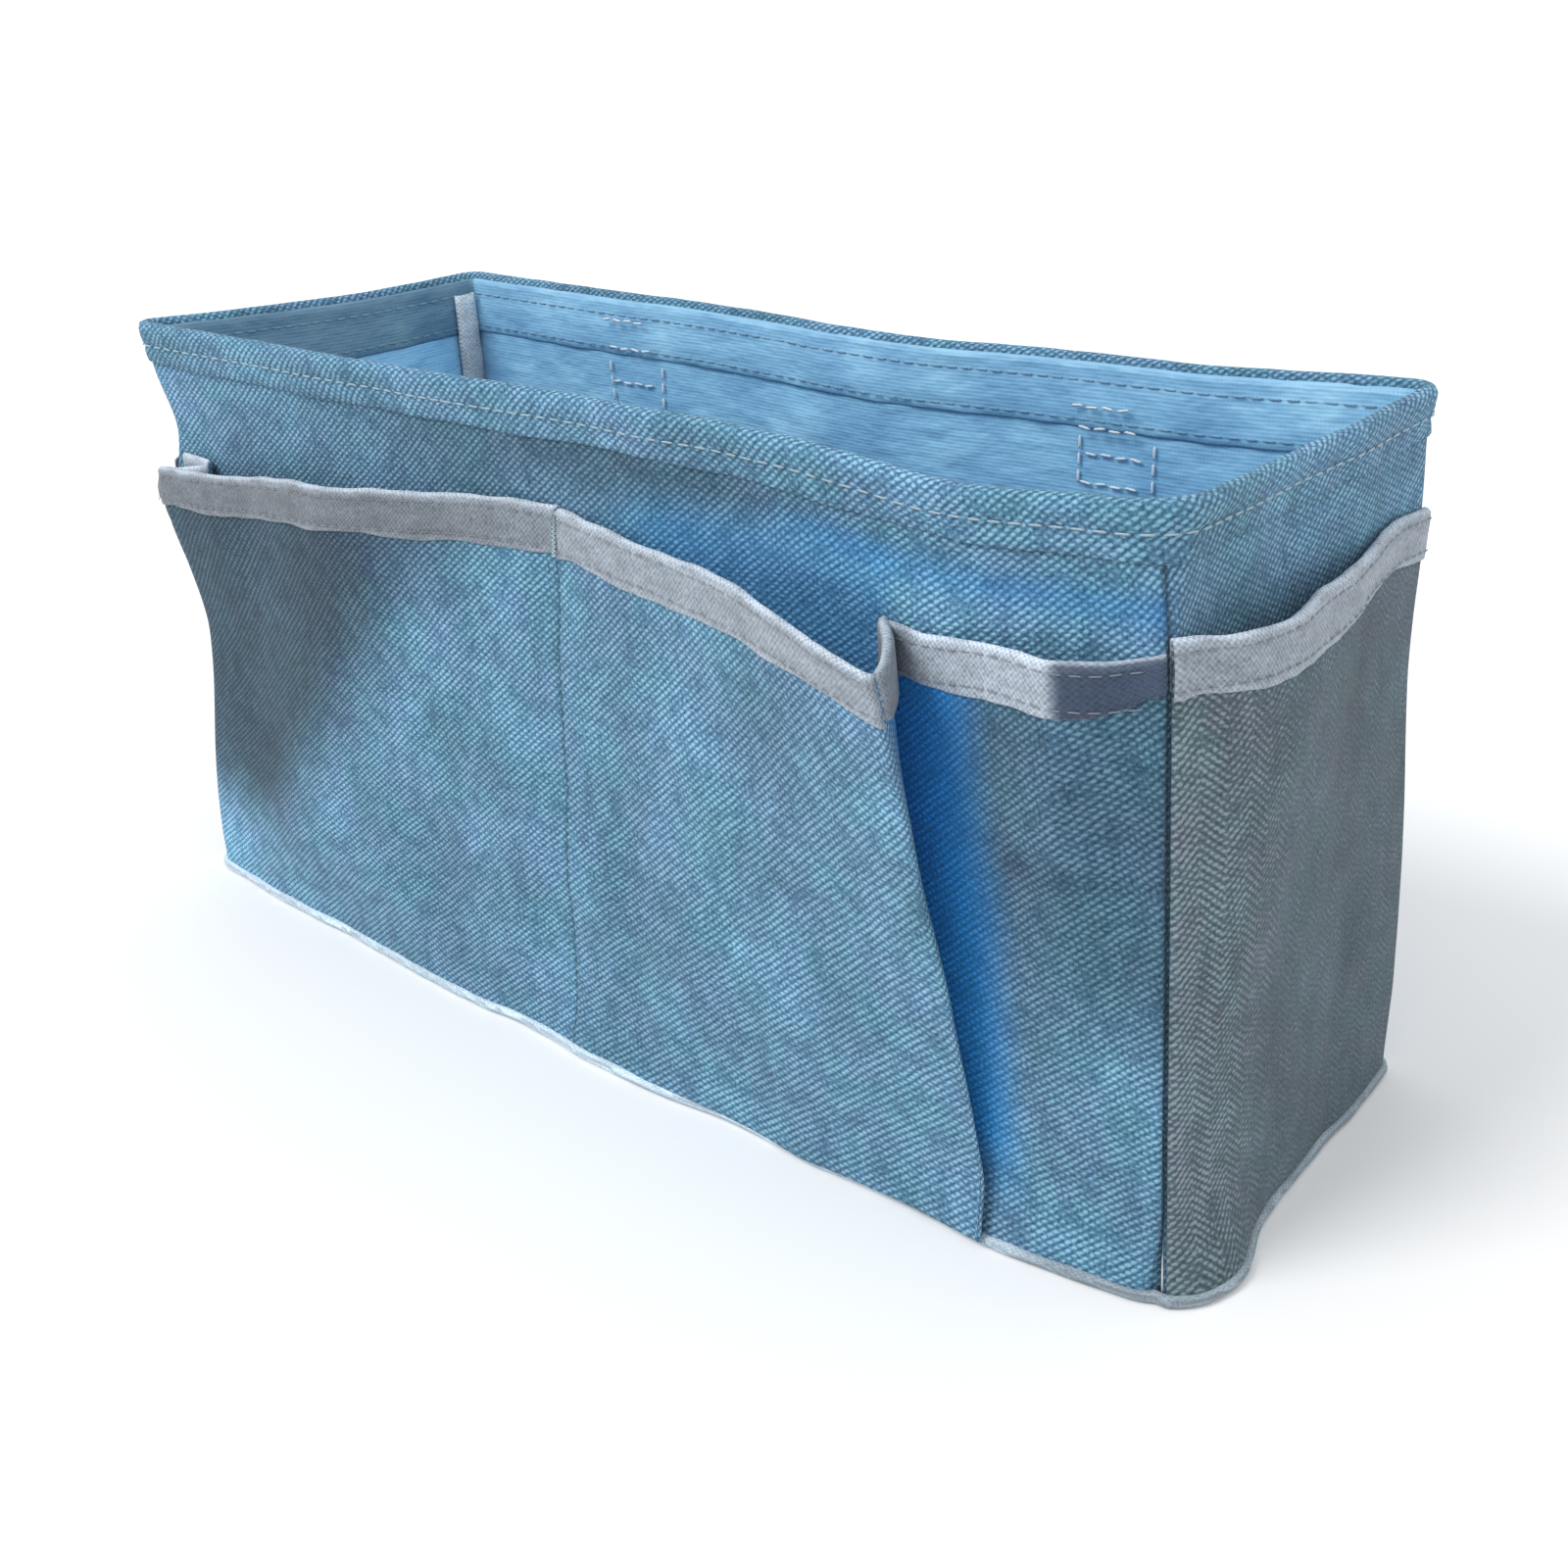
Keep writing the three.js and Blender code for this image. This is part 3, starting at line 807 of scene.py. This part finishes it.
def tube_round(name, out, z, radius, material, nodes):
    """A soft tube round the foot of the box."""
    sections = 10

    def point(i, j):
        side, share = FOOT_PLACES[i]
        angle = -2 * math.pi * j / (sections - 1)
        r = radius * (1 + 0.12 * rough(21, i * FOOT_STEP, 0, 8))
        place = round_box(side, share, max(0.0, z), out + r * math.cos(angle))
        place.z = (z + r * math.sin(angle)) * MM
        # Painted shade: the piping and the seam tape are coloured darker along the right end and the right
        # end of the front.
        painted_shade = smooth(0.84, 0.95, share) if side == "front" else float(side == "right")
        return place, (i * FOOT_STEP, j), 0.5 - 0.26 * painted_shade

    def join_seam(mesh):
        bmesh.ops.remove_doubles(mesh, verts=mesh.verts, dist=1e-7)

    piece = grid_mesh(name, len(FOOT_PLACES), sections, point, closed=True)
    finish_piece(reworked(piece, join_seam), material, nodes)


def make_foot_seams():
    tube_round("base_piping_edge", 0.9, 1.5, 1.15, PIPING, ["base_piping"])
    tube_round("floor_seam_tape", -5.0, 4.2, 1.3, SEAM_TAPE, ["floor_seam_binding"])


def make_board():
    """The loose board: a plate with round corners and eased edges."""
    length, width = BOARD_HIGH[0] - BOARD_LOW[0], BOARD_HIGH[1] - BOARD_LOW[1]
    thick, radius, ease = BOARD_HIGH[2] - BOARD_LOW[2], 8.0, 0.5
    inner_ring = 40.0
    corner_steps = 8
    outline = []
    for quarter, (sx, sy) in enumerate(((1, 1), (-1, 1), (-1, -1), (1, -1))):
        for k in range(corner_steps + 1):
            angle = math.pi / 2 * (quarter + k / corner_steps)
            outline.append((sx * (length / 2 - radius) + radius * math.cos(angle),
                            sy * (width / 2 - radius) + radius * math.sin(angle)))
    levels = [(0, inner_ring), (0, ease), (ease, 0), (thick - ease, 0), (thick, ease), (thick, inner_ring)]

    def point(i, j):
        height, inset = levels[j]
        x, y = outline[i]
        x -= math.copysign(min(abs(x), inset), x)
        y -= math.copysign(min(abs(y), inset), y)
        return Vector((x, y, BOARD_LOW[2] + height)) * MM, (x, y)

    def close_middle(mesh):
        half_way = (BOARD_LOW[2] + 1) * MM
        for top in (False, True):
            ring = [v for v in mesh.verts if len(v.link_faces) == 2 and (v.co.z > half_way) == top]
            mesh.faces.new(ring if top else ring[::-1])

    piece = grid_mesh("base_board_plate", len(outline), len(levels), point, closed=True)
    reworked(piece, close_middle).data.shade_flat()
    finish_piece(piece, BOARD, ["base_board"], body="loose_board")


# ---- Pockets ----
# A pocket is a route along its wall: route(t, h) gives a along the wall and out from it,
# for a share t of the mouth and a share h of the height; top gives its mouth's height at some a.

POCKET_FOOT = 2.0
TAPE_HEIGHT = 10.0
FLAT_OUT = 0.9  # a pocket's face where it lies on the wall
DIVIDER_SEAM_X = DIVIDER_X + 0.15
FOLD_TOP_X = 101.3
# Heights of the mouths, each as (place along the wall, height).
LEFT_TOP = [(-146, 116.2), (-110, 119.8), (-60, 124.8), (-20, 128.0), (2, 128.2)]
MIDDLE_TOP = [(0, 127.6), (28, 126.2), (62, 125.2), (92, 124.0), (101, 122.8), (110, 122.0)]
RIGHT_TOP = [
    (86, 123.5), (98, 124.4), (113, 126.6), (127, 126.4), (134, 125.4), (138, 125.8), (146, 127.8),
]
END_TOP = [(-54, 129.6), (-43, 129.0), (-20, 127.8), (15, 127.6), (36, 128.6), (54, 127.2)]
LEFT_END_TOP = [(-54, 127.2), (-30, 128.4), (10, 127.6), (36, 124.0), (54, 117.5)]
# How far the mouths bulge out, as a share of the most: by share of the way to the pleat, then by place.
MIDDLE_BULGE = [(0, 0), (0.26, 0.13), (0.43, 0.31), (0.61, 0.55), (0.77, 0.79), (0.91, 0.95), (1, 1)]
RIGHT_BULGE = [
    (88, 0.0), (100, 0.22), (113, 0.62), (124, 0.96), (127.5, 1.0), (131, 0.75), (138, 0.06), (146, 0),
]
END_BULGE = [
    (-55, 0), (-50, 0.12), (-38, 0.85), (-25, 1.0), (-5, 0.78), (20, 0.32), (37, 0.06), (55, 0),
]
LEFT_FOLDS = (  # depth, place along, share of the height
    (1.4, (-15, 9), (0.28, 0.24)),
    (-1.6, (-44, 10), (0.22, 0.2)),
)
MIDDLE_FOLDS = (  # depth, share of the way to the pleat, share of the height
    (1.2, (0.36, 0.1), (0.3, 0.25)),
    (-1.4, (0.17, 0.06), (0.3, 0.24)),
)


def fullness(h):
    """Cloth leaves the seam at its foot over the first fifth of its height."""
    return smooth(-0.02, 0.22, h)


def left_route(t, h):
    z = lerp(POCKET_FOOT, POCKET_TOP, h)
    edge = left_edge(z) + 0.6
    a = lerp(edge, DIVIDER_SEAM_X, t)
    at_pleat = 4.4 * smooth(0.6, 0.95, h)
    belly = 5.5 * math.sin(math.pi * t) ** 1.2 * lerp(0.6, 1, h)
    ridge = 2.2 * hill(a, lerp(-112, -58, h), 20) - 1.6 * hill(a, lerp(-140, -100, h), 16)
    folds = (ridge + patches(LEFT_FOLDS, a, h)) * math.sin(math.pi * t)
    return a, FLAT_OUT + fullness(h) * ((1 - t) ** 2 * at_pleat + belly + folds)


def fold_place(h):
    """The outer fold of the pleat: along the wall, and out from it."""
    return lerp(FOLD_BOTTOM_X + 4.5, FOLD_TOP_X, h ** 0.95), 3.0 + 18.6 * h ** 1.25


def middle_route(t, h):
    """Out from the divider to the pleat's fold, round it, and back to the wall."""
    fold_a, fold_out = fold_place(h)
    turn, round_off = 0.82, 0.025  # where the fold comes along the cloth, and how far it is rounded

    def face(q):
        rise = lerp(smooth(0, 0.75, q), through(MIDDLE_BULGE, q), min(1, h * 1.6))
        crown = 1.8 * math.sin(math.pi * q) * (1 - 0.8 * h)
        out = lerp(FLAT_OUT, fold_out, rise) + fullness(h) * (crown + patches(MIDDLE_FOLDS, q, h))
        return lerp(DIVIDER_SEAM_X, fold_a, q), out

    def gusset(q):
        root = lerp(2.0, 1.0, h)
        bend = 1.2 * math.sin(math.pi * q) * h
        out = lerp(max(root, fold_out - 1.1 * (1 - h)), root, q) - bend
        return lerp(fold_a, GUSSET_ROOT_X, q) + bend, out

    if t < turn - round_off:
        return face(t / turn)
    if t > turn + round_off:
        return gusset((t - turn) / (1 - turn))
    before, after = face((turn - round_off) / turn), gusset(round_off / (1 - turn))
    k = (t - turn + round_off) / (2 * round_off)
    corner = (fold_a + 0.6, fold_out + 0.3)
    return tuple(lerp(lerp(b, c, k), lerp(c, e, k), k) for b, c, e in zip(before, corner, after))


def right_route(t, h):
    z = lerp(POCKET_FOOT, POCKET_TOP, h)
    a = lerp(GUSSET_ROOT_X + 0.6, right_edge(z) - 0.7, t)
    bulge = 8.8 * max(0, through(RIGHT_BULGE, a))
    amount = 0.08 + 0.92 * smooth(0.3, 0.93, h) ** 1.2
    dent = 1.2 * hill(a, 118, 14) * hill(h, 0.6, 0.09)
    return a, 0.8 + fullness(h) * (bulge * amount - dent * (1 - abs(2 * t - 1)))


def right_end_route(t, h):
    first, last = ends("right", lerp(POCKET_FOOT, POCKET_TOP, h))
    a = lerp(first + 0.4, last - 0.4, t)
    bulge = 7.6 * through(END_BULGE, a) * lerp(0.25, 1, smooth(0.1, 1, h))
    ripple = 0.4 * math.sin(a / 5.2) * smooth(0.8, 1, h) * math.sin(math.pi * t)
    return a, FLAT_OUT + fullness(h) * (bulge + ripple)


def left_end_route(t, h):
    first, last = ends("left", lerp(POCKET_FOOT, POCKET_TOP, h))
    belly = 7.5 * math.sin(math.pi * t) ** 1.3 * lerp(0.35, 1, smooth(0.1, 1, h))
    return lerp(first + 0.6, last - 1.5, t), FLAT_OUT + fullness(h) * belly


def mouth(route, top, t, z_drop):
    """Place along and out from the wall, and height, that far below a pocket's mouth."""
    a, _ = route(t, 1.0)
    z = through(top, a) - z_drop
    h = min(1.0, (z - POCKET_FOOT) / (through(top, a) - POCKET_FOOT))
    a, out = route(t, h)
    return a, out, z


FRONT_POCKET_PAINTED_LIGHT = (  # painted shade and painted light: darker and paler places of the front pockets' cloth
    (-0.1, (-44, 15), (26, 24)),
    (-0.08, (18, 9), (36, 28)),
    (0.04, (-14, 12), (34, 24)),
    (0.4, (-146, 22), (6, 22)),
    (-0.2, (-148, 5), (42, 9)),
)


def pocket_painted_light(name, a, z):
    """Painted light and shade: where the pocket cloth is coloured darker or paler than elsewhere."""
    if name.endswith("end_pocket"):
        return 0.43
    if name == "front_right_pocket":
        return lerp(0.48, 0.28, smooth(38, 72, z)) - 0.07 * hill(z, 85, 4) * hill(a, 122, 18)
    past_fold = a + 96 - 0.85 * (z - 30)
    painted_shade_side = 1 - smooth(-30, 10, past_fold)
    painted_light = PLAIN_TONE - 0.35 * painted_shade_side * smooth(8, 40, z) + 0.03 * hill(past_fold, 16, 16)
    return painted_light + patches(FRONT_POCKET_PAINTED_LIGHT, a, z)


def pocket_cloth(name, side, route, top, columns, rows, material, nodes, length, shade=None):
    def point(i, j):
        t = i / (columns - 1)
        a, _ = route(t, 1.0)
        h = (j / (rows - 1)) ** 1.1
        z = lerp(POCKET_FOOT, through(top, a) - CLOTH, h)
        a, out = route(t, h)
        # Painted deep shade where the pocket has a shade function, and painted light and shade over its
        # cloth.
        deep = shade(t, h, a) if shade else 0.0
        return wall(side, a, z, out), (t * length, z), pocket_painted_light(name, a, z), deep

    cloth_sheet(name + "_cloth", columns, rows, point, CLOTH, material, nodes)


TAPE_PROFILE = [  # distance below the mouth, and out from the pocket cloth's face
    (TAPE_HEIGHT, 0.35), (TAPE_HEIGHT - 0.4, 0.7), (8.2, 0.8), (5.0, 0.9), (2.0, 0.95), (0.7, 0.9),
    (0.1, 0.45), (-0.15, -0.3), (0.2, -1.0), (0.9, -1.3), (4.0, -1.3), (TAPE_HEIGHT - 1, -1.2),
]
TAPE_LENGTH = running_length(TAPE_PROFILE)
TAPE_FOLD_ROW = 6.6  # rows of the profile from the lower edge to the upper fold


def tape_painted_light(name, t, j):
    """Painted light on the tape: a painted highlight along its upper fold, where it is palest, and painted
    shade where it turns away from the light.
    """
    upper_fold = hill(j, TAPE_FOLD_ROW, 1.4)
    painted_light = 0.42 + 0.42 * upper_fold + 0.16 * hill(j, 0.5, 0.8)
    if name == "front_left_pocket":
        painted_light -= (0.2 - 0.08 * smooth(0.7, 0.95, t)) * (1 - upper_fold)
    if name == "front_middle_pocket":
        painted_light -= 0.12 * smooth(0.81, 0.84, t)
    if name == "front_right_pocket":
        painted_light += 0.15 - 0.2 * (1 - smooth(0.08, 0.2, t))
    return painted_light


def tape_shade(name, t, j):
    """Where tape turns away from the light, all but its upper fold."""
    if name != "front_right_pocket":
        return 0.0
    by_the_pleat = 0.6 * (1 - smooth(0.06, 0.16, t))
    past_the_bend = 0.97 * smooth(0.69, 0.75, t)
    return (by_the_pleat + past_the_bend) * (1 - 0.7 * hill(j, TAPE_FOLD_ROW, 1.2))


def pocket_tape(name, side, route, top, columns, nodes, length):
    def point(i, j):
        t = i / (columns - 1)
        drop, offset = TAPE_PROFILE[j]
        uneven = 0.45 * rough(31, t * length, 0, 14) if j < 3 else 0
        if name == "front_right_pocket":
            drop *= 1 - 0.35 * smooth(0.75, 1, t)
        top_waver = 0.35 * rough(32, t * length, 0, 9)
        a, out, z = mouth(route, top, t, max(0.0, drop + uneven))
        z += top_waver - min(0, drop)
        pucker = 0.15 * rough(33, t * length, j * 2, 4)
        place = wall(side, a, z, out + offset + pucker)
        return place, (t * length, TAPE_LENGTH[j]), tape_painted_light(name, t, j), tape_shade(name, t, j)

    cloth_sheet(name + "_tape", columns, len(TAPE_PROFILE), point, TAPE, TAPE_CLOTH, nodes)
    for row, drop in enumerate((8.4, 1.9)):
        path = []
        for i in range(columns):
            a, out, z = mouth(route, top, i / (columns - 1), drop)
            path.append(wall(side, a, z, out + 1.05))
        stitches(f"{name}_tape_stitches_{row}", [path], length=2.3, gap=1.1, radius=0.14, thread=TAPE_THREAD)


def recess(t, h, a):
    """The right pocket is in deep shade beside the pleat."""
    fold_a, _ = fold_place(h)
    return 0.95 * (1 - smooth(fold_a - 4, fold_a + 8 + 6 * h, a)) * smooth(0.02, 0.2, h)


def gusset_shade(t, h, a):
    """The pleat's inner face is in deep shade."""
    return 0.9 * smooth(0.83, 0.9, t)


# name, side, route, top, cloth, its columns, rows, length and shade, and its tape's columns and length
POCKETS = (
    ("front_left_pocket", "front", left_route, LEFT_TOP, WOVEN, 110, 90, 150, None, 120, 148),
    ("front_middle_pocket", "front", middle_route, MIDDLE_TOP, WOVEN, 130, 90, 132, gusset_shade, 150, 128),
    ("front_right_pocket", "front", right_route, RIGHT_TOP, WOVEN, 70, 90, 62, recess, 80, 60),
    ("right_end_pocket", "right", right_end_route, END_TOP, WOVEN_END_PAINTED_SHADE, 90, 80, 108, None, 110, 108),
    ("left_end_pocket", "left", left_end_route, LEFT_END_TOP, WOVEN_END_PAINTED_SHADE, 70, 70, 106, None, 80, 106),
)


def pocket_nodes(name):
    """The middle pocket is one cloth with its pleat."""
    return [name, "front_middle_gusset"] if name == "front_middle_pocket" else [name]


def make_pockets():
    for name, side, route, top, material, columns, rows, length, shade, _, _ in POCKETS:
        pocket_cloth(name, side, route, top, columns, rows, material, pocket_nodes(name), length, shade)
    for name, side, route, top, *_, columns, length in POCKETS:
        bindings = [f"{node}_binding" for node in pocket_nodes(name)]
        pocket_tape(name, side, route, top, columns, bindings, length)


def make_left_pleat():
    """The knife pleat at the left corner: the pocket strip doubles back behind its own corner."""
    plan = [  # along the wall, and out from it
        (-134, 0.8), (-128, 1.0), (-122.5, 1.5), (-120.8, 2.3), (-123, 3.1), (-129, 3.6), (-135, 4.0),
        (-137.5, 4.2),
    ]
    columns, rows = 60, 24
    length, foot = 40, 104

    def place(t, z, extra=0.0):
        k = t * (len(plan) - 1)
        i = min(len(plan) - 2, int(k))
        (a0, o0), (a1, o1) = plan[i], plan[i + 1]
        a, out = lerp(a0, a1, k - i), lerp(o0, o1, k - i)
        return wall("front", a, z, out + extra)

    def level(t):
        return lerp(120.6, 116.5, smooth(0.3, 1, t))

    def cloth_point(i, j):
        t, h = i / (columns - 1), j / (rows - 1)
        z = lerp(foot, level(t) - 0.6, h)
        # Painted shade: the pleat's cloth is coloured a little darker and toward the deep shade colour.
        return place(t, z), (t * length, z), 0.45, 0.2

    def tape_point(i, j):
        t = i / (columns - 1)
        drop, offset = TAPE_PROFILE[j]
        # Painted highlight along the tape's upper fold.
        painted_light = PLAIN_TONE + 0.35 * hill(j, 6.5, 1.8)
        return place(t, level(t) - drop, offset * 0.6), (t * length, TAPE_LENGTH[j]), painted_light

    tape_rows = len(TAPE_PROFILE)
    cloth_sheet("front_left_pleat_cloth", columns, rows, cloth_point, 0.5, WOVEN, ())
    cloth_sheet("front_left_pleat_tape", columns, tape_rows, tape_point, 0.3, TAPE_CLOTH, ())


def make_divider():
    """The seam between the left and middle pockets, with a bar tack at its top."""
    tack_foot, tack_half, tack_step = 118, 0.7, 0.45
    seam = [wall("front", DIVIDER_SEAM_X, z, 1.1) for z in range(4, tack_foot, 2)]
    stitches("divider_stitches", [seam], length=1.6, gap=1.6, radius=0.12, thread=SEAM_THREAD)
    tack = [wall("front", DIVIDER_SEAM_X + tack_half * (-1) ** (k + 1), tack_foot + k * tack_step, 2.0)
            for k in range(21)]
    stitches("divider_tack", [tack], length=1.4, gap=0.1, radius=0.2)


# ---- Inside: bound corner seams and the box stitches that hold the webbing ----

CORNER_TAPE_PROFILE = [  # distance from the corner, and out from the lining
    (3.6, 0.0), (3.8, -0.9), (5.0, -1.5), (7.5, -1.5), (9.5, -1.45), (10.6, -1.2), (10.9, -0.6),
    (10.6, 0.0),
]
CORNER_TAPE_FLAT = (11 * MM, 134 * MM)
CORNER_SEAM_INSET = 5.2


def from_corner(side, at_end, inset, z):
    """Place along a wall at a distance from its last or its first corner."""
    first, last = ends(side, z)
    return last - inset if at_end else first + inset


def make_corner_bindings():
    face = LINING_OUT - 0.5
    rows, seam_steps = 70, 59
    for corner, side, at_end in (("front_right", "right", False), ("back_right", "right", True),
                                 ("back_left", "left", False), ("front_left", "left", True)):
        profile = CORNER_TAPE_PROFILE[::-1] if at_end else CORNER_TAPE_PROFILE

        def point(i, j, side=side, at_end=at_end, profile=profile):
            z = lerp(6, HEIGHT - 5, j / (rows - 1))
            inset, lift = profile[i]
            swell = 1 + 0.25 * rough(41, z, 0, 12)
            over_facing = 0.5 * smooth(FACING_BOTTOM - 2, FACING_BOTTOM, z)
            out = face + lift * swell - 0.3 - over_facing
            # Painted light: the tape is coloured paler towards the rim.
            painted_light = PLAIN_TONE + 0.2 * smooth(125, 143, z)
            return wall(side, from_corner(side, at_end, inset, z), z, out), (inset, z), painted_light

        cloth_sheet(f"{corner}_corner_tape", len(profile), rows, point, 0.3, SEAM_TAPE,
                    [f"{corner}_corner_binding"], flat=CORNER_TAPE_FLAT)
        heights = [lerp(9, FACING_BOTTOM + 2, k / seam_steps) for k in range(seam_steps + 1)]
        seam = [wall(side, from_corner(side, at_end, CORNER_SEAM_INSET, z), z, face - 2.2) for z in heights]
        stitches(f"{corner}_corner_stitches", [seam], length=2.4, gap=1.3, radius=0.17)


BOX_ROWS = {  # height of each row, and where it starts and ends about the loop's middle
    "right": [(141.0, -11, 8), (136.2, -9, 9), (130.0, -8, 11), (123.2, -9, 10)],
    "left": [(145.4, -10, 9), (138.0, -8, 9), (128.4, -9, 8)],
}
BOX_EDGE = 9.5
LOOP_CENTRE = (LOOP_LOW[0] + LOOP_HIGH[0]) / 2


def make_box_stitches():
    """Rows that show inside the back wall, where the webbing loops are sewn on behind."""
    on_lining, on_facing, steps = LINING_OUT - 0.65, -5.1, 12
    for name, sign in (("right", 1), ("left", -1)):
        centre = sign * LOOP_CENTRE
        paths = []
        for z, low, high in BOX_ROWS[name]:
            out = on_facing if z > FACING_BOTTOM else on_lining
            xs = [centre + low + (high - low) * k / steps for k in range(steps + 1)]
            paths.append([wall("back", -x, z + 0.25 * math.sin(x), out) for x in xs])
        for edge in (-BOX_EDGE, BOX_EDGE):
            paths.append([wall("back", -(centre + edge), z, on_lining) for z in range(123, 136, 2)])
        stitches(f"box_stitches_{name}", paths, length=3.0, gap=0.9, radius=0.36, thread=LINING_THREAD)


# ---- Webbing loops on the back ----

def make_hang_loops():
    width = LOOP_HIGH[0] - LOOP_LOW[0]
    bottom, top = LOOP_LOW[2], LOOP_HIGH[2]
    sewn, bend, standing = 24, 11, 8.6
    half_box, steps = 8, 8
    rows, columns = 90, 12
    for name, sign in (("hang_loop_right", 1), ("hang_loop_left", -1)):
        centre = sign * LOOP_CENTRE

        def out_at(z):
            over_hem = 1.4 * smooth(HEIGHT - 13, HEIGHT - 10, z)
            above_seam = smooth(bottom + sewn, bottom + sewn + bend, z)
            below_seam = 1 - smooth(top - sewn - bend, top - sewn, z)
            return 1.7 + over_hem + standing * above_seam * below_seam

        def point(i, j, centre=centre):
            z = lerp(bottom, top, j / (rows - 1))
            a = -centre + width * (i / (columns - 1) - 0.5)
            crown = 0.3 * (1 - (2 * i / (columns - 1) - 1) ** 4)
            return wall("back", a, z, out_at(z) + crown), (width * i / (columns - 1), z * 1.05)

        cloth_sheet(name + "_strap", columns, rows, point, STRAP, WEBBING, [name])
        paths = []
        for low, high in ((bottom + 2, bottom + sewn - 1), (top - sewn + 1, top - 2)):
            corners = [(-half_box, low), (half_box, low), (half_box, high), (-half_box, high),
                       (-half_box, low), (half_box, high)]
            for (a0, z0), (a1, z1) in zip(corners, corners[1:]):
                shares = [k / steps for k in range(steps + 1)]
                row = [(lerp(a0, a1, share), lerp(z0, z1, share)) for share in shares]
                paths.append([wall("back", a - centre, z, out_at(z) + 0.35) for a, z in row])
        stitches(name + "_stitches", paths, length=2.6, gap=1.0, radius=0.26)


make_walls()
make_rim()
make_floor()
make_foot_seams()
make_board()
make_pockets()
make_left_pleat()
make_divider()
make_corner_bindings()
make_box_stitches()
make_hang_loops()


# ---- Floor, light and camera ----

SKY_COLOUR = (0.96, 0.98, 1.0, 1)
SKY_STRENGTH = 0.97
LIGHTS = (  # azimuth from the front, elevation, strength, softness; all angles in degrees
    ("key", -28, 46, 1.6, 24),
    ("fill", 62, 30, 0.12, 60),
)
CAMERA_PLACE = (277.57, -306.30, 231.42)
CAMERA_TURNS = (40.546, 24.084, -1.277)  # yaw, pitch and roll in degrees
LENS = 42.44
SENSOR = 36
CLIP_END = 100  # metres


def make_stage():
    mesh = bpy.data.meshes.new("studio_floor")
    half = 40.0  # metres
    corners = [(-half, -half, 0), (half, -half, 0), (half, half, 0), (-half, half, 0)]
    mesh.from_pydata(corners, [], [(0, 1, 2, 3)])
    floor = bpy.data.objects.new("studio_floor", mesh)
    add_to_scene(floor)
    g = Graph("pale_floor")
    place = g.node("NewGeometry").outputs["Position"]
    colour = g.ramp(g.noise(place, 3.0, 2), [(0.3, (0.86, 0.86, 0.86)), (0.7, (0.9, 0.9, 0.9))])
    mesh.materials.append(g.finish(colour, 0.9, specular=0.1))

    world = bpy.data.worlds.new("studio")
    world.use_nodes = True
    sky = world.node_tree.nodes["Background"]
    sky.inputs["Color"].default_value = SKY_COLOUR
    sky.inputs["Strength"].default_value = SKY_STRENGTH
    bpy.context.scene.world = world
    bpy.context.scene.view_settings.view_transform = "Standard"
    for name, azimuth, elevation, strength, softness in LIGHTS:
        light = bpy.data.lights.new(name, "SUN")
        light.energy = strength
        light.angle = math.radians(softness)
        lamp = bpy.data.objects.new(name, light)
        turn, lift = math.radians(azimuth), math.radians(elevation)
        towards = Vector((math.sin(turn) * math.cos(lift), -math.cos(turn) * math.cos(lift), math.sin(lift)))
        lamp.rotation_euler = towards.to_track_quat("Z", "Y").to_euler()
        add_to_scene(lamp)


def make_camera():
    """Seen from the front right and from above."""
    place = Vector(CAMERA_PLACE) * MM
    yaw, pitch, roll = (math.radians(x) for x in CAMERA_TURNS)
    forward = Vector((-math.sin(yaw) * math.cos(pitch), math.cos(yaw) * math.cos(pitch), -math.sin(pitch)))
    right = forward.cross(Vector((0, 0, 1))).normalized()
    up = right.cross(forward)
    x_axis = right * math.cos(roll) + up * math.sin(roll)
    y_axis = up * math.cos(roll) - right * math.sin(roll)
    camera = bpy.data.objects.new("camera", bpy.data.cameras.new("camera"))
    camera.data.lens = LENS
    camera.data.sensor_width = SENSOR
    camera.data.clip_end = CLIP_END
    axes = Matrix((x_axis, y_axis, -forward)).transposed()
    camera.matrix_world = Matrix.Translation(place) @ axes.to_4x4()
    add_to_scene(camera)
    bpy.context.scene.camera = camera


make_stage()
make_camera()
